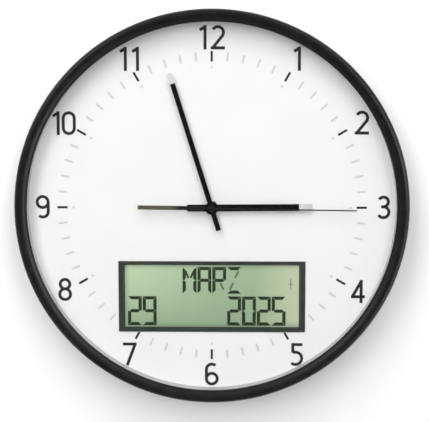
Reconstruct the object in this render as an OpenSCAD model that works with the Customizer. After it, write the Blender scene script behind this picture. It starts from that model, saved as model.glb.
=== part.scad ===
// Wall clock with three hands and a calendar display.
// Every piece is drawn flat, with the hand axis as z, the wall at z = 0 and the viewer at positive z.
// hung() then stands the clock up: dial facing -Y, top at +Z, origin at the mouth of the keyhole.

/* [Case] */
// Outside diameter of the case ring
case_d = 300; // [280:1:330]
// Width of the ring seen from the front
ring_w = 9.5; // [8.8:0.1:9.6]
// Height of the ring's ridge above the lens
crown_h = 4; // [3.6:0.1:6]
// Radius of the ring's outer shoulder
shoulder_r = 3.4; // [2:0.1:4]
// Fall of the ring's crowned inner slope from ridge to opening
slope_drop = 3; // [1:0.1:3.2]
// Width of the lip that covers the edge of the lens
lip_w = 3.2; // [3:0.1:3.5]
// Thickness of the rear plate
plate_t = 2.4; // [1.8:0.1:4]
// Thickness of the housing's side wall
wall_t = 2.4; // [1.6:0.1:3]
// Step from ring to housing at their seam
seam_step = 0.5; // [0.2:0.1:1]
// Rounding of the housing's rear edge
back_round = 2; // [1:0.1:2.2]
// Width of the housing's seat under the dial
seat_w = 3.6; // [2:0.1:6]
// Thickness of the housing's seat
seat_t = 2.4; // [1.6:0.1:4]

/* [Case screws] */
// Number of case screws
case_screw_n = 6; // [4:1:8]
// Distance of the screws outside the ring's pocket
case_screw_out = 2.6; // [2.4:0.1:3.2]
// Shank diameter of a case screw
case_screw_d = 2; // [1.6:0.1:2.4]
// Head diameter of a case screw
case_screw_head_d = 3.8; // [3.2:0.1:4.2]
// Head height of a case screw
case_screw_head_h = 1.4; // [1:0.1:2]
// Length of a case screw inside the ring
case_screw_bite = 7; // [4:0.5:10]
// Length of a case screw inside the housing
case_screw_grip = 10; // [6:0.5:14]

/* [Lens and dial] */
// Thickness of the lens
lens_t = 2; // [1.5:0.1:3]
// Free depth for the hands between dial and lens
hand_room = 12; // [11:0.5:18]
// Wall of the white ring between dial and lens
spacer_t = 1.6; // [1.2:0.1:1.8]
// Thickness of the dial plate
dial_t = 1.4; // [0.8:0.1:2]
// Thickness of a printed layer
ink_t = 0.1; // [0.05:0.01:0.2]

/* [Dial print] */
// Distance of the circle of numerals inside the ring's opening
numeral_in = 9.9; // [9.7:0.1:13]
// Height of a numeral
numeral_h = 18.2; // [14:0.1:18.6]
// Width of a digit
numeral_w = 10.8; // [8:0.1:11.2]
// Width of the digit 1
numeral_one_w = 6.1; // [4:0.1:6.6]
// Stroke of a numeral
numeral_stroke = 2.3; // [1.5:0.1:2.6]
// Space between the digits of 11 and 12, and twice that of 10
numeral_space = 3.2; // [1.5:0.1:3.6]
// Distance of the hour marks inside the ring's opening
hour_mark_in = 21; // [19.5:0.1:26]
// Length of an hour mark
hour_mark_l = 7.9; // [5:0.1:9]
// Width of an hour mark
hour_mark_w = 1.7; // [0.8:0.1:2.5]
// Distance of the hour dots inside the ring's opening
hour_dot_in = 33.5; // [32:0.1:36]
// Diameter of that dot
hour_dot_d = 2; // [1:0.1:2.5]
// Distance of the minute marks inside the ring's opening
minute_mark_in = 21.5; // [19.5:0.1:26]
// Length of a minute mark
minute_mark_l = 6.6; // [4:0.1:8]
// Width of a minute mark
minute_mark_w = 1.6; // [0.8:0.1:2.5]

/* [Display] */
// Drop of the display's centre below the hand axis, as a share of the opening's radius
display_share = 0.4972; // [0.49:0.0001:0.51]
// Width of the display frame
frame_w = 145.1; // [140:0.1:150]
// Height of the display frame
frame_h = 55.4; // [53:0.1:58]
// Width of the view through the frame
view_w = 135.8; // [125:0.1:136]
// Height of the view through the frame
view_h = 48.8; // [44:0.1:49]
// Width of the slope round the view
view_bevel = 1.4; // [0.5:0.1:1.5]
// Height of the frame above the dial
frame_proud = 0.8; // [0.3:0.1:1.5]
// Margin of the frame's flange behind the dial
flange_w = 5; // [4.5:0.1:7]
// Thickness of that flange
flange_t = 2; // [1.5:0.1:2.5]
// Wall of the frame's skirt round the glass
skirt_t = 1.5; // [1:0.1:2]
// Thickness of each of the cell's two glasses
glass_t = 1.2; // [0.7:0.1:1.5]
// Ledge of the front glass, above and below
glass_ledge = 2.8; // [2.6:0.1:3.2]
// Margin of the glass past the view, left and right
glass_margin = 1.6; // [1:0.1:2]
// Height from the circuit board to the rear glass
strip_gap = 2.3; // [1.5:0.1:3]
// Width of an elastomer contact strip
strip_w = 2; // [1.2:0.1:2.2]
// Thickness of the circuit board
board_t = 1.6; // [1:0.1:2]
// Space from the board to the cell tray
board_gap = 1.3; // [0.5:0.1:3]
// Shank diameter of a board screw
board_screw_d = 1.8; // [1.4:0.1:2]
// Height of the digits
digit_h = 23; // [20:0.1:23.4]
// Height of the letters
letter_h = 21; // [18:0.1:21.4]
// Width of a digit or letter
digit_w = 10.8; // [8:0.1:11]
// Pitch of the digits and letters
digit_pitch = 11.6; // [11:0.1:12]
// Stroke of a display segment
segment_t = 2.5; // [1.2:0.1:3]
// Space from the top of the view to the letters
letters_down = 1.4; // [0.6:0.1:1.8]
// Space from the bottom of the view to the digits
digits_up = 1.2; // [0.6:0.1:1.4]
// Space from the left of the view to the day
day_in = 2.2; // [1:0.1:8]
// Space from the right of the view to the year
year_in = 10.3; // [6:0.1:14]

/* [Display cells, door and buttons] */
// Diameter of a small cell
small_cell_d = 10.5; // [10:0.1:11]
// Length of a small cell
small_cell_l = 44.5; // [42:0.1:46]
// Room for a contact at each end of a cell
contact_room = 2.2; // [1.8:0.1:3]
// Thickness of a contact strip
contact_t = 0.4; // [0.3:0.05:0.6]
// Wall of the tray round the small cells
tray_wall = 2.2; // [2:0.1:3]
// Lap of the battery door on the tray wall
door_lap = 0.9; // [0.6:0.1:1]
// Depth of the door and the buttons below the rear face
rear_inset = 0.4; // [0.2:0.1:0.8]
// Diameter of a setting button
button_d = 6; // [4:0.1:7]
// Pitch of the setting buttons
button_pitch = 12; // [11:0.5:13]
// Distance of the last button inside the edge of the board
button_in = 21.5; // [16:0.5:22]
// Distance of the battery tray inside the edge of the board
tray_in = 20.5; // [18:0.5:21]
// Travel of a setting button
button_travel = 0.7; // [0.3:0.1:1]
// Height of a push switch body
switch_h = 3.4; // [2:0.1:4]

/* [Antenna] */
// Diameter of the ferrite rod
antenna_d = 8; // [6:0.1:10]
// Length of the ferrite rod
antenna_l = 70; // [60:1:90]
// Height of the rod above the hand axis
antenna_rise = 62; // [50:1:75]
// Length of the antenna's winding
antenna_coil_l = 26; // [16:1:30]
// Depth of the winding on the rod
antenna_coil_t = 1.5; // [0.8:0.1:2]

/* [Hanging] */
// Height of the keyhole above the hand axis
hook_rise = 110; // [100:1:118]
// Diameter of the keyhole's round part
keyhole_d = 9.2; // [8:0.1:11]
// Width of the keyhole's slot
keyhole_slot_w = 5; // [4:0.1:6]
// Length of the slot above the round part
keyhole_slot_l = 9; // [7:0.1:12]
// Thickness of the pad round the keyhole
hanger_t = 2; // [1:0.1:4]

/* [Movement] */
// Side of the square movement
movement_side = 60; // [60:0.5:66]
// Wall of the movement's shells
shell_t = 1.4; // [1:0.1:1.8]
// Thickness of the rubber washer
washer_t = 0.5; // [0.3:0.1:1]
// Diameter of the movement cell
cell_d = 14.2; // [13.6:0.1:14.6]
// Length of the movement cell
cell_l = 50.2; // [49:0.1:50.6]
// Wall of the bay for that cell
bay_wall = 1; // [0.8:0.1:1.2]
// Diameter of the threaded bush
bush_d = 7.4; // [7:0.1:10]
// Diameter of the hour tube
hour_tube_d = 4.8; // [4.4:0.1:5.4]
// Diameter of the minute tube
minute_tube_d = 2.8; // [2.4:0.1:3]
// Diameter of the second shaft
second_shaft_d = 1; // [0.8:0.05:1.2]
// Width of the fixing nut across its flats
nut_flats = 9.4; // [9.2:0.1:14]
// Height of the fixing nut
nut_t = 2.2; // [1.5:0.1:3]
// Thickness of a train wheel
wheel_t = 1; // [0.6:0.05:1.1]
// Tooth module between a rotor and its idler
rotor_module = 0.25; // [0.24:0.005:0.26]
// Tooth module between an idler and its hand wheel
train_module = 0.3; // [0.29:0.005:0.31]
// Tooth module between minute pinion and motion wheel
motion_module = 0.36; // [0.35:0.005:0.37]
// Diameter of a wheel's pivot
pivot_d = 0.9; // [0.7:0.05:1.1]
// Diameter of a wheel's arbor
arbor_d = 1.6; // [1.3:0.1:1.8]
// Diameter of a rotor magnet
magnet_d = 5.2; // [4.6:0.1:5.6]
// Length of a rotor magnet
magnet_t = 2.4; // [1.8:0.1:2.6]
// Thickness of a stator plate
stator_t = 1.2; // [0.8:0.1:1.4]
// Diameter of a motor coil
coil_d = 5.2; // [4:0.1:5.4]

/* [Hands] */
// Thickness of a hand
hand_t = 0.5; // [0.3:0.05:0.8]
// Height of a hand's collet
collet_h = 1.2; // [0.9:0.1:1.4]
// Clear height between one hand and the next
hand_gap = 1; // [0.5:0.1:1.2]
// Length of the hour hand
hour_hand_l = 77.3; // [60:0.1:90]
// Width of the hour hand
hour_hand_w = 5.2; // [4:0.1:7]
// Length of the hour hand's pale tip
hour_tip_l = 10.2; // [6:0.1:14]
// Length of the hour hand's tail
hour_tail_l = 18.8; // [12:0.1:25]
// Length of the minute hand
minute_hand_l = 107.4; // [95:0.1:118]
// Width of the minute hand
minute_hand_w = 3.8; // [3:0.1:5]
// Length of the minute hand's pale tip
minute_tip_l = 8.2; // [5:0.1:12]
// Length of the minute hand's tail
minute_tail_l = 18.1; // [12:0.1:25]
// Length of the second hand
second_hand_l = 111; // [95:0.1:120]
// Width of the second hand's needle
second_hand_w = 0.9; // [0.6:0.1:1.5]
// Length of the second hand's tail
second_tail_l = 56.5; // [40:0.1:65]
// Length of the wide weight at the end of that tail
second_weight_l = 51; // [20:0.1:52]
// Width of that weight
second_weight_w = 3.1; // [2:0.1:4]
// Angle of the hour hand past twelve
hour_angle = 89.6; // [0:0.1:360]
// Angle of the minute hand past twelve
minute_angle = 342.6; // [0:0.1:360]
// Angle of the second hand past twelve
second_angle = 90.8; // [0:0.1:360]

/* [Fits] */
// Clearance of loose case pieces
slip = 0.3; // [0.2:0.05:0.4]
// Radial clearance of running fits
run = 0.06; // [0.03:0.01:0.1]
// Radial clearance of pushed and threaded fits
push = 0.02; // [0.01:0.01:0.05]

/* [Hidden] */
$fn = 96;

// Overshoot of a cut past the faces that it opens
cut = 1;

// Radii of the case
case_r = case_d / 2;
open_r = case_r - ring_w;
pocket_r = open_r + lip_w;
stack_r = pocket_r - slip;
ridge_r = case_r - shoulder_r;
slope_w = ridge_r - open_r;
slope_r = (slope_w * slope_w + slope_drop * slope_drop) / (2 * slope_drop);
housing_r = case_r - seam_step;
seat_in_r = stack_r - seat_w;
screw_circle_r = pocket_r + case_screw_out;
screw_boss_wall = 1.6;
screw_boss_r = case_screw_head_d / 2 + screw_boss_wall;

// Circles of the dial's print, all from the ring's opening
numeral_r = open_r - numeral_in;
hour_mark_r = open_r - hour_mark_in;
hour_dot_r = open_r - hour_dot_in;
minute_mark_r = open_r - minute_mark_in;

// Shift of each numeral from its place on the circle, from 1 to 12: the print is set by eye,
// with 5 and 7 a little lower to stand clear of the display
numeral_shift = [
    [-0.6, 0.6], [1.6, 0], [1.5, 0.3], [0.5, 0], [0.8, -2.4], [0, -0.8],
    [1, -2.5], [-1.4, 0.8], [-0.3, 0.3], [-0.5, -0.5], [2.2, 0.5], [0, -0.8]
];

// Depth of the display, from the wall to the dial
cell_floor_gap = 0.2;
tray_floor = plate_t + cell_floor_gap + small_cell_d + slip;
tray_floor_t = 1.2;
board_back = tray_floor + tray_floor_t + board_gap;
board_front = board_back + board_t;
lcd_back = board_front + strip_gap;
lcd_front = lcd_back + 2 * glass_t;
view_land = 1;

// Depth of the case, from the dial to the ridge of the ring
dial_back = lcd_front + view_land;
dial_front = dial_back + dial_t;
lens_back = dial_front + hand_room;
lens_front = lens_back + lens_t;
ring_top = lens_front + crown_h;

// Plan of the display
display_y = -display_share * open_r;
frame_front = dial_front + frame_proud;
frame_fit = 0.15;
flange_x = frame_w / 2 + flange_w;
flange_y = frame_h / 2 + flange_w;
glass_x = view_w / 2 + glass_margin;
glass_y = view_h / 2 + glass_ledge;
board_boss_r = 3;
board_screw_x = flange_x - board_boss_r;
board_screw_y = flange_y - board_boss_r;
board_screw_head_r = board_screw_d;
board_screw_head_h = 1.2;
board_screw_end = 0.6;
pillar_r = 3;
pillar_in_x = 9;
pillar_in_y = 2;
pillar_x = board_screw_x - pillar_in_x;
pillar_y = board_screw_y - pillar_in_y;
strip_short = 4;
display_chip_r = 5;
display_chip_h = 1.2;
display_chip_down = 10;
mast_in = 6.4;
mast_up = 5.2;
mast_h = 9;
mast_w = 0.8;
mast_arm_w = 3.2;
mast_arm_share = 0.45;
segment_gap = segment_t * 0.06;
slant_back = segment_t * 0.8;
slant_w = segment_t * 0.6;

// Tray and door of the small cells
tray_l = small_cell_l + 2 * contact_room;
tray_w = 2 * small_cell_d + 3 * slip;
small_cell_pitch = small_cell_d + slip;
tray_x = tray_in + tray_wall + tray_l / 2 - flange_x;
small_cell_z = plate_t + cell_floor_gap + small_cell_d / 2;
cell_wrap_gap = 0.1;
cell_nub_l = 1;
cell_nub_share = 0.19;
groove_n = 5;
groove_pitch = 2;
groove_w = 0.9;
groove_depth = 0.5;
groove_in = 4;

// Setting buttons and their switches
button_n = 4;
button_first_x = flange_x - button_in - (button_n - 1) * button_pitch;
button_fit = 0.25;
button_rim = 1.2;
button_rim_t = 1;
button_stem_r = button_d / 3;
button_play = 0.1;
switch_side = 6;
switch_plunger_r = 1.6;
switch_plunger_h = 0.6;
switch_tip = board_back - switch_h - switch_plunger_h;

// Antenna in its two clips
antenna_r = antenna_d / 2;
clip_wall = 1.6;
clip_w = 5;
clip_from_coil = 10;
clip_x = antenna_coil_l / 2 + clip_from_coil;
clip_grip = 1.2;
antenna_floor_gap = 2;
antenna_z = plate_t + antenna_floor_gap + antenna_r + antenna_coil_t;

// Pad round the keyhole
hanger_margin = 6;
hanger_r = keyhole_d / 2 + keyhole_slot_l / 2 + hanger_margin;

// Depth of the movement, worked out from its cell
bay_floor_gap = 0.3;
bay_to_shell = 0.4;
movement_t = cell_floor_gap + cell_d + bay_floor_gap + bay_wall + bay_to_shell + shell_t;
movement_front = dial_back - washer_t;
movement_rear = movement_front - movement_t;
shell_in = movement_front - shell_t;
cover_in = movement_rear + shell_t;
movement_in = movement_side / 2 - shell_t;
collar_t = 1.6;
collar_over = 3;

// Bay of the movement cell
bay_fit = 0.15;
bay_x = movement_in - bay_fit - bay_wall;
bay_half = cell_d / 2 + bay_floor_gap;
cell_y = -(movement_in - bay_fit - bay_wall - bay_half);
cell_z = movement_rear + cell_floor_gap + cell_d / 2;
bay_floor = movement_rear + cell_floor_gap + cell_d + bay_floor_gap;

// Teeth of the trains
rotor_teeth = 8;
idler_teeth = 48;
idler_pinion_teeth = 12;
hand_wheel_teeth = 60;
minute_pinion_teeth = 12;
motion_teeth = 36;
motion_pinion_teeth = 10;
hour_teeth = 40;
tooth_root_share = 0.62;
tooth_tip_share = 0.22;
tooth_height = 0.8;
tooth_depth = 1.15;

// Places of the wheels round the hand axis
rotor_reach = (rotor_teeth + idler_teeth) * rotor_module / 2;
idler_reach = (idler_pinion_teeth + hand_wheel_teeth) * train_module / 2;
motion_reach = (minute_pinion_teeth + motion_teeth) * motion_module / 2;
hour_module = 2 * motion_reach / (motion_pinion_teeth + hour_teeth);
idler_angle = 150;
rotor_angle = 132;
motion_angle = 90;
idler_at = idler_reach * [cos(idler_angle), sin(idler_angle)];
rotor_at = idler_at + rotor_reach * [cos(rotor_angle), sin(rotor_angle)];
motion_at = motion_reach * [cos(motion_angle), sin(motion_angle)];

// Levels of the wheels, counted in layers from the front shell to the rear cover
layer_n = 8;
end_play = 0.3;
layer = (shell_in - cover_in - end_play) / layer_n;
hour_level = shell_in - 2 * layer;
motion_level = shell_in - 3 * layer;
plate_level = shell_in - 4 * layer;
minute_level = shell_in - 5 * layer;
minute_idler_level = shell_in - 6 * layer;
second_level = shell_in - 7 * layer;
second_idler_level = shell_in - 8 * layer;
train_plate_t = 0.6;
train_plate_x = 11.2;
train_plate_low = -9.5;
train_plate_high = 7.2;
post_x = 9;
post_y = -7;
post_r = 1.6;
post_pin_r = 0.8;
stud_r = 0.7;
stud_boss_r = 1.8;
stud_tongue_r = 2.4;
bearing_depth = 0.9;
shoulder_play = 0.2;
pinion_over = 0.3;
hub_r = 1.9;
wheel_hole_share = 0.58;

// Motors: a rotor in the eye of a stator, whose two legs carry the coil
stator_eye_gap = 0.6;
stator_ring = 1.2;
magnet_gap = 0.4;
stator_rise = 0.6;
leg_reach = 5.5;
leg_w = 3;
coil_rise = 10.4;
coil_l = 7.2;
coil_core_w = 2.4;
bobbin_t = 0.6;
bobbin_over = 0.3;
coil_post_r = 1.2;

// Board of the movement
movement_board_t = 1.2;
movement_board_gap = 0.9;
movement_board_x = movement_in - 1;
movement_board_low = 14.4;
movement_board_high = movement_in - slip;
movement_board_back = shell_in - movement_board_gap - movement_board_t;
board_spacer_r = 1.6;
board_spacer_x = movement_board_x - 3;
board_spacer_y = movement_board_high - 3;
crystal_r = 1;
crystal_l = 7;
crystal_y = 24;
chip_side = 4.6;
chip_t = 1;
chip_x = 24;
chip_y = 18.6;
set_button_y = 18.2;
set_button_r = 2;
set_button_rim = 1;
set_button_stem_r = 1.1;
set_switch_side = 4;
set_switch_h = 1.8;
set_switch_tip = movement_board_back - set_switch_h - switch_plunger_h;
set_switch_plunger_r = 0.8;

// Levels of the hands
bush_over = 0.8;
bush_end = dial_front + nut_t + bush_over;
hand_clear = 0.4;
hour_hand_z = bush_end + hand_clear;
minute_hand_z = hour_hand_z + collet_h + hand_gap;
second_hand_z = minute_hand_z + collet_h + hand_gap;
tube_short = 0.1;
bush_hole_gap = 0.2;
collet_wall = 0.9;
second_cap_t = 0.3;
hour_hub_r = 4.8;
minute_hub_r = 5;
second_hub_r = 3;
washer_r = 9;

// Stands the clock up with the keyhole's mouth at the origin
module hung() {
    translate([0, 0, -hook_rise])
        rotate([90, 0, 0])
            children();
}

// A box with its middle at x and y, from one level to another
module block(half_x, half_y, z0, z1) {
    translate([-half_x, -half_y, z0])
        cube([2 * half_x, 2 * half_y, z1 - z0]);
}

// A round bar along z, from one level to another
module rod(r, z0, z1) {
    translate([0, 0, z0])
        cylinder(r = r, h = z1 - z0);
}

// A round bar along x, from one place to another
module cross_rod(r, x0, x1) {
    translate([x0, 0, 0])
        rotate([0, 90, 0])
            cylinder(r = r, h = x1 - x0);
}

// Copies at the four corners of a rectangle
module at_corners(x, y) {
    for (i = [-1, 1])
        for (j = [-1, 1])
            translate([i * x, j * y, 0])
                children();
}

// Copies on the circle of the case screws
module on_screw_circle() {
    for (i = [0:case_screw_n - 1])
        rotate([0, 0, (i + 0.5) * 360 / case_screw_n])
            translate([screw_circle_r, 0, 0])
                children();
}

// The corner that is left when a quarter circle is taken out of a square
module corner_cut(r) {
    difference() {
        square(r + cut);
        circle(r);
    }
}

// Case

module front_ring() {
    color("#1b1b1d")
    difference() {
        rotate_extrude()
            difference() {
                polygon([
                    [pocket_r, dial_back], [case_r, dial_back], [case_r, ring_top],
                    [open_r, ring_top], [open_r, lens_front], [pocket_r, lens_front]
                ]);
                translate([ridge_r, ring_top - shoulder_r])
                    corner_cut(shoulder_r);
                translate([ridge_r, ring_top - slope_r])
                    mirror([1, 0])
                        corner_cut(slope_r);
            }
        on_screw_circle()
            rod(case_screw_d / 2 + push, dial_back - cut, dial_back + case_screw_bite + slip);
    }
}

module lens() {
    color([0.85, 0.93, 0.95, 0.25])
    rod(stack_r, lens_back, lens_front);
}

module spacer_ring() {
    color("#f4f4f2")
    difference() {
        rod(stack_r, dial_front, lens_back);
        rod(stack_r - spacer_t, dial_front - cut, lens_back + cut);
    }
}

module housing_pan() {
    rotate_extrude()
        difference() {
            square([housing_r, dial_back]);
            translate([-cut, plate_t])
                square([housing_r - wall_t + cut, dial_back - seat_t - plate_t]);
            translate([-cut, dial_back - seat_t - cut])
                square([seat_in_r + cut, seat_t + 2 * cut]);
            translate([housing_r - back_round, back_round])
                mirror([0, 1])
                    corner_cut(back_round);
        }
}

module keyhole() {
    translate([0, hook_rise, 0]) {
        rod(keyhole_d / 2, -cut, plate_t + hanger_t + cut);
        translate([-keyhole_slot_w / 2, 0, -cut])
            cube([keyhole_slot_w, keyhole_slot_l, plate_t + hanger_t + 2 * cut]);
        translate([0, keyhole_slot_l, 0])
            rod(keyhole_slot_w / 2, -cut, plate_t + hanger_t + cut);
    }
}

module antenna_clip() {
    difference() {
        translate([0, antenna_rise, 0])
            block(clip_w / 2, antenna_r + clip_wall, plate_t, antenna_z + clip_grip);
        translate([0, antenna_rise, antenna_z])
            cross_rod(antenna_r + push, -clip_w, clip_w);
    }
}

module at_tray() {
    translate([tray_x, display_y, 0])
        children();
}

module at_buttons() {
    for (i = [0:button_n - 1])
        at_button(i)
            children();
}

module at_button(i) {
    translate([button_first_x + i * button_pitch, display_y, 0])
        children();
}

module rear_housing() {
    window = movement_side / 2 + slip;
    color("#202022")
    difference() {
        union() {
            housing_pan();
            intersection() {
                on_screw_circle()
                    rod(screw_boss_r, plate_t, dial_back);
                rod(housing_r - wall_t / 2, 0, dial_back);
            }
            translate([0, hook_rise + keyhole_slot_l / 2, 0])
                rod(hanger_r, plate_t, plate_t + hanger_t);
            block(window + collar_t, window + collar_t, plate_t, movement_rear + collar_over);
            at_tray()
                block(tray_l / 2 + tray_wall, tray_w / 2 + tray_wall, plate_t, tray_floor + tray_floor_t);
            translate([0, display_y, 0])
                at_corners(pillar_x, pillar_y)
                    rod(pillar_r, plate_t, board_back);
            for (side = [-1, 1])
                translate([side * clip_x, 0, 0])
                    antenna_clip();
        }
        keyhole();
        on_screw_circle() {
            rod(case_screw_d / 2 + run, -cut, dial_back + cut);
            rod(case_screw_head_d / 2 + slip / 2, -cut, dial_back - case_screw_grip);
        }
        block(window, window, -cut, movement_rear + collar_over + cut);
        at_tray() {
            block(tray_l / 2, tray_w / 2, -cut, tray_floor);
            block(tray_l / 2 + door_lap + slip, tray_w / 2 + door_lap + slip, -cut, plate_t);
        }
        at_buttons()
            rod(button_d / 2 + button_fit, -cut, plate_t + cut);
        translate([0, display_y, 0])
            block(flange_x + slip, flange_y + slip, board_back, dial_back + cut);
    }
}

module case_screws() {
    head_z = dial_back - case_screw_grip;
    slot_w = 0.6;
    color("#8d8f92")
    on_screw_circle()
        difference() {
            union() {
                rod(case_screw_d / 2, head_z, dial_back + case_screw_bite);
                rod(case_screw_head_d / 2, head_z - case_screw_head_h, head_z);
            }
            for (turn = [0, 90])
                rotate([0, 0, turn])
                    block(case_screw_head_d / 3, slot_w / 2, head_z - 2 * case_screw_head_h, head_z - slot_w);
        }
}

// Dial and its print

module dial() {
    color("#fafaf8")
    difference() {
        rod(stack_r, dial_back, dial_front);
        rod(bush_d / 2 + bush_hole_gap, dial_back - cut, dial_front + cut);
        translate([0, display_y, 0])
            block(frame_w / 2 + frame_fit, frame_h / 2 + frame_fit, dial_back - cut, dial_front + cut);
    }
}

// Strokes of the numerals: a straight bar and a piece of a round band

module bar(from, to, w = numeral_stroke) {
    along = to - from;
    translate(from)
        rotate(atan2(along[1], along[0]))
            translate([0, -w / 2])
                square([norm(along), w]);
}

module band(centre, r, from, to, w = numeral_stroke) {
    steps = ceil((to - from) / 45);
    reach = 2 * r + w;
    translate(centre)
        intersection() {
            difference() {
                circle(r + w / 2);
                circle(r - w / 2);
            }
            polygon(concat(
                [[0, 0]],
                [for (i = [0:steps]) let (a = from + (to - from) * i / steps) reach * [cos(a), sin(a)]]
            ));
        }
}

// A closed round stroke
module hoop(centre, r, w = numeral_stroke) {
    translate(centre)
        difference() {
            circle(r + w / 2);
            circle(r - w / 2);
        }
}

// Digits stand on y = 0 between x = 0 and their own width
function digit_advance(d) = d == 1 ? numeral_one_w : numeral_w;

module digit(d) {
    w = numeral_w;
    h = numeral_h;
    e = numeral_stroke / 2;
    mid = w / 2;
    bowl_r = mid - e;
    upper_r = (h - 2 * e) * 0.235;
    lower_r = (h - 2 * e) / 2 - upper_r;
    waist = e + 2 * lower_r;
    if (d == 0) {
        band([mid, h - e - bowl_r], bowl_r, 0, 180);
        band([mid, e + bowl_r], bowl_r, 180, 360);
        bar([e, e + bowl_r], [e, h - e - bowl_r]);
        bar([w - e, e + bowl_r], [w - e, h - e - bowl_r]);
    }
    if (d == 1) {
        stem = numeral_one_w - e;
        bar([stem, 0], [stem, h]);
        bar([numeral_one_w * 0.15, h * 0.8], [stem, h - e]);
    }
    if (d == 2) {
        neck = -40;
        band([mid, h - e - bowl_r], bowl_r, neck, 150);
        bar([mid + bowl_r * cos(neck), h - e - bowl_r + bowl_r * sin(neck)], [w * 0.14, e]);
        bar([0, e], [w, e]);
    }
    if (d == 3) {
        middle = w - e - lower_r;
        band([middle, h - e - upper_r], upper_r, -90, 150);
        band([middle, e + lower_r], lower_r, -150, 90);
        bar([middle - upper_r / 2, waist], [middle, waist]);
    }
    if (d == 4) {
        post = w * 0.72;
        low = h * 0.27;
        bar([post, 0], [post, h]);
        bar([0, low], [w, low]);
        bar([w * 0.09, low], [post, h - e]);
    }
    if (d == 5) {
        five_r = (h - 2 * e) * 0.31;
        five_x = w - e - five_r;
        stem = w * 0.14 + e;
        join = acos((stem - five_x) / five_r);
        bar([w * 0.14, h - e], [w * 0.94, h - e]);
        bar([stem, e + five_r + five_r * sin(join)], [stem, h - e]);
        band([five_x, e + five_r], five_r, -130, join);
    }
    if (d == 6) {
        hook_end = 48;
        hoop([mid, e + bowl_r], bowl_r);
        bar([e, e + bowl_r], [e, h - e - bowl_r]);
        band([mid, h - e - bowl_r], bowl_r, hook_end, 180);
    }
    if (d == 7) {
        bar([0, h - e], [w, h - e]);
        bar([w - e, h - e], [w * 0.3, 0]);
    }
    if (d == 8) {
        hoop([mid, h - e - upper_r], upper_r);
        hoop([mid, e + lower_r], lower_r);
    }
    if (d == 9)
        translate([w, h])
            rotate(180)
                digit(6);
}

module numeral(hour) {
    tens = floor(hour / 10);
    ones = hour % 10;
    space = ones == 0 ? numeral_space / 2 : numeral_space;
    lead = tens > 0 ? digit_advance(tens) + space : 0;
    full = lead + digit_advance(ones);
    translate([-full / 2, -numeral_h / 2]) {
        if (tens > 0)
            digit(tens);
        translate([lead, 0])
            digit(ones);
    }
}

module hour_numerals() {
    color("#2a2a2c")
    translate([0, 0, dial_front])
        linear_extrude(ink_t)
            for (hour = [1:12])
                translate(numeral_r * [sin(hour * 30), cos(hour * 30)] + numeral_shift[hour - 1])
                    numeral(hour);
}

// One printed dash at a minute of the dial
module dash(minute, r, l, w) {
    rotate(-minute * 6)
        translate([-w / 2, r - l])
            square([w, l]);
}

// Print that stops short of the window for the display
module off_display() {
    margin = frame_fit + slip;
    difference() {
        children();
        translate([-frame_w / 2 - margin, display_y - frame_h / 2 - margin])
            square([frame_w + 2 * margin, frame_h + 2 * margin]);
    }
}

module hour_marks() {
    color("#3a3a3c")
    translate([0, 0, dial_front])
        linear_extrude(ink_t)
            off_display()
                for (hour = [1:12])
                    dash(hour * 5, hour_mark_r, hour_mark_l, hour_mark_w);
}

module minute_marks() {
    color("#cfcfcf")
    translate([0, 0, dial_front])
        linear_extrude(ink_t)
            off_display() {
                for (minute = [1:59])
                    if (minute % 5 != 0)
                        dash(minute, minute_mark_r, minute_mark_l, minute_mark_w);
                for (hour = [1:12])
                    rotate(-hour * 30)
                        translate([0, hour_dot_r])
                            circle(d = hour_dot_d);
            }
}

// Display

// The sloping hole of the frame: where two wedges cross, its corners are mitred
module view_wedge(half, length) {
    rise = frame_front - lcd_front;
    flare = view_bevel * (rise + cut) / rise;
    rotate([90, 0, 0])
        translate([0, 0, -length / 2])
            linear_extrude(length)
                polygon([
                    [-half, lcd_front - cut], [half, lcd_front - cut], [half, lcd_front],
                    [half + flare, frame_front + cut], [-half - flare, frame_front + cut], [-half, lcd_front]
                ]);
}

module lcd_frame() {
    skirt_x = glass_x + slip + skirt_t;
    skirt_y = glass_y + slip + skirt_t;
    color("#3c423b")
    translate([0, display_y, 0])
        difference() {
            union() {
                block(flange_x, flange_y, dial_back - flange_t, dial_back);
                block(frame_w / 2, frame_h / 2, dial_back - flange_t, frame_front);
                block(skirt_x, skirt_y, board_front, dial_back - flange_t);
                at_corners(board_screw_x, board_screw_y)
                    rod(board_boss_r, board_front, dial_back - flange_t);
            }
            block(glass_x + slip, glass_y + slip, board_front - cut, lcd_front);
            intersection() {
                view_wedge(view_w / 2, frame_h);
                rotate([0, 0, 90])
                    view_wedge(view_h / 2, frame_w);
            }
            at_corners(board_screw_x, board_screw_y)
                rod(board_screw_d / 2 + push, board_front - cut, dial_back - board_screw_end);
        }
}

module lcd_cell() {
    color("#a9c4a0")
    translate([0, display_y, 0]) {
        block(glass_x, glass_y, lcd_back + glass_t, lcd_front);
        block(glass_x, glass_y - glass_ledge, lcd_back, lcd_back + glass_t);
    }
}

// Lays what is drawn along x from one corner of a character towards another
module from_corner(from, to) {
    way = to - from;
    translate(from)
        rotate(atan2(way[1], way[0]))
            children();
}

// The bar at the top or the bottom of a character, mitred at both corners, with its outer edge on a side
module end_bar(from, to, side) {
    l = norm(to - from);
    e = segment_t / 2;
    from_corner(from, to)
        polygon([
            [segment_gap - e, side * e], [l - segment_gap + e, side * e],
            [l - segment_gap - e, -side * e], [segment_gap + e, -side * e]
        ]);
}

// Half of an upright of a character, mitred at its corner and pointed at the middle
module half_upright(from, to, side) {
    l = norm(to - from);
    e = segment_t / 2;
    from_corner(from, to)
        polygon([
            [segment_gap - e, side * e], [l - segment_gap, side * e], [l - segment_gap, 0],
            [l - segment_gap - e, -side * e], [segment_gap + e, -side * e]
        ]);
}

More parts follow.
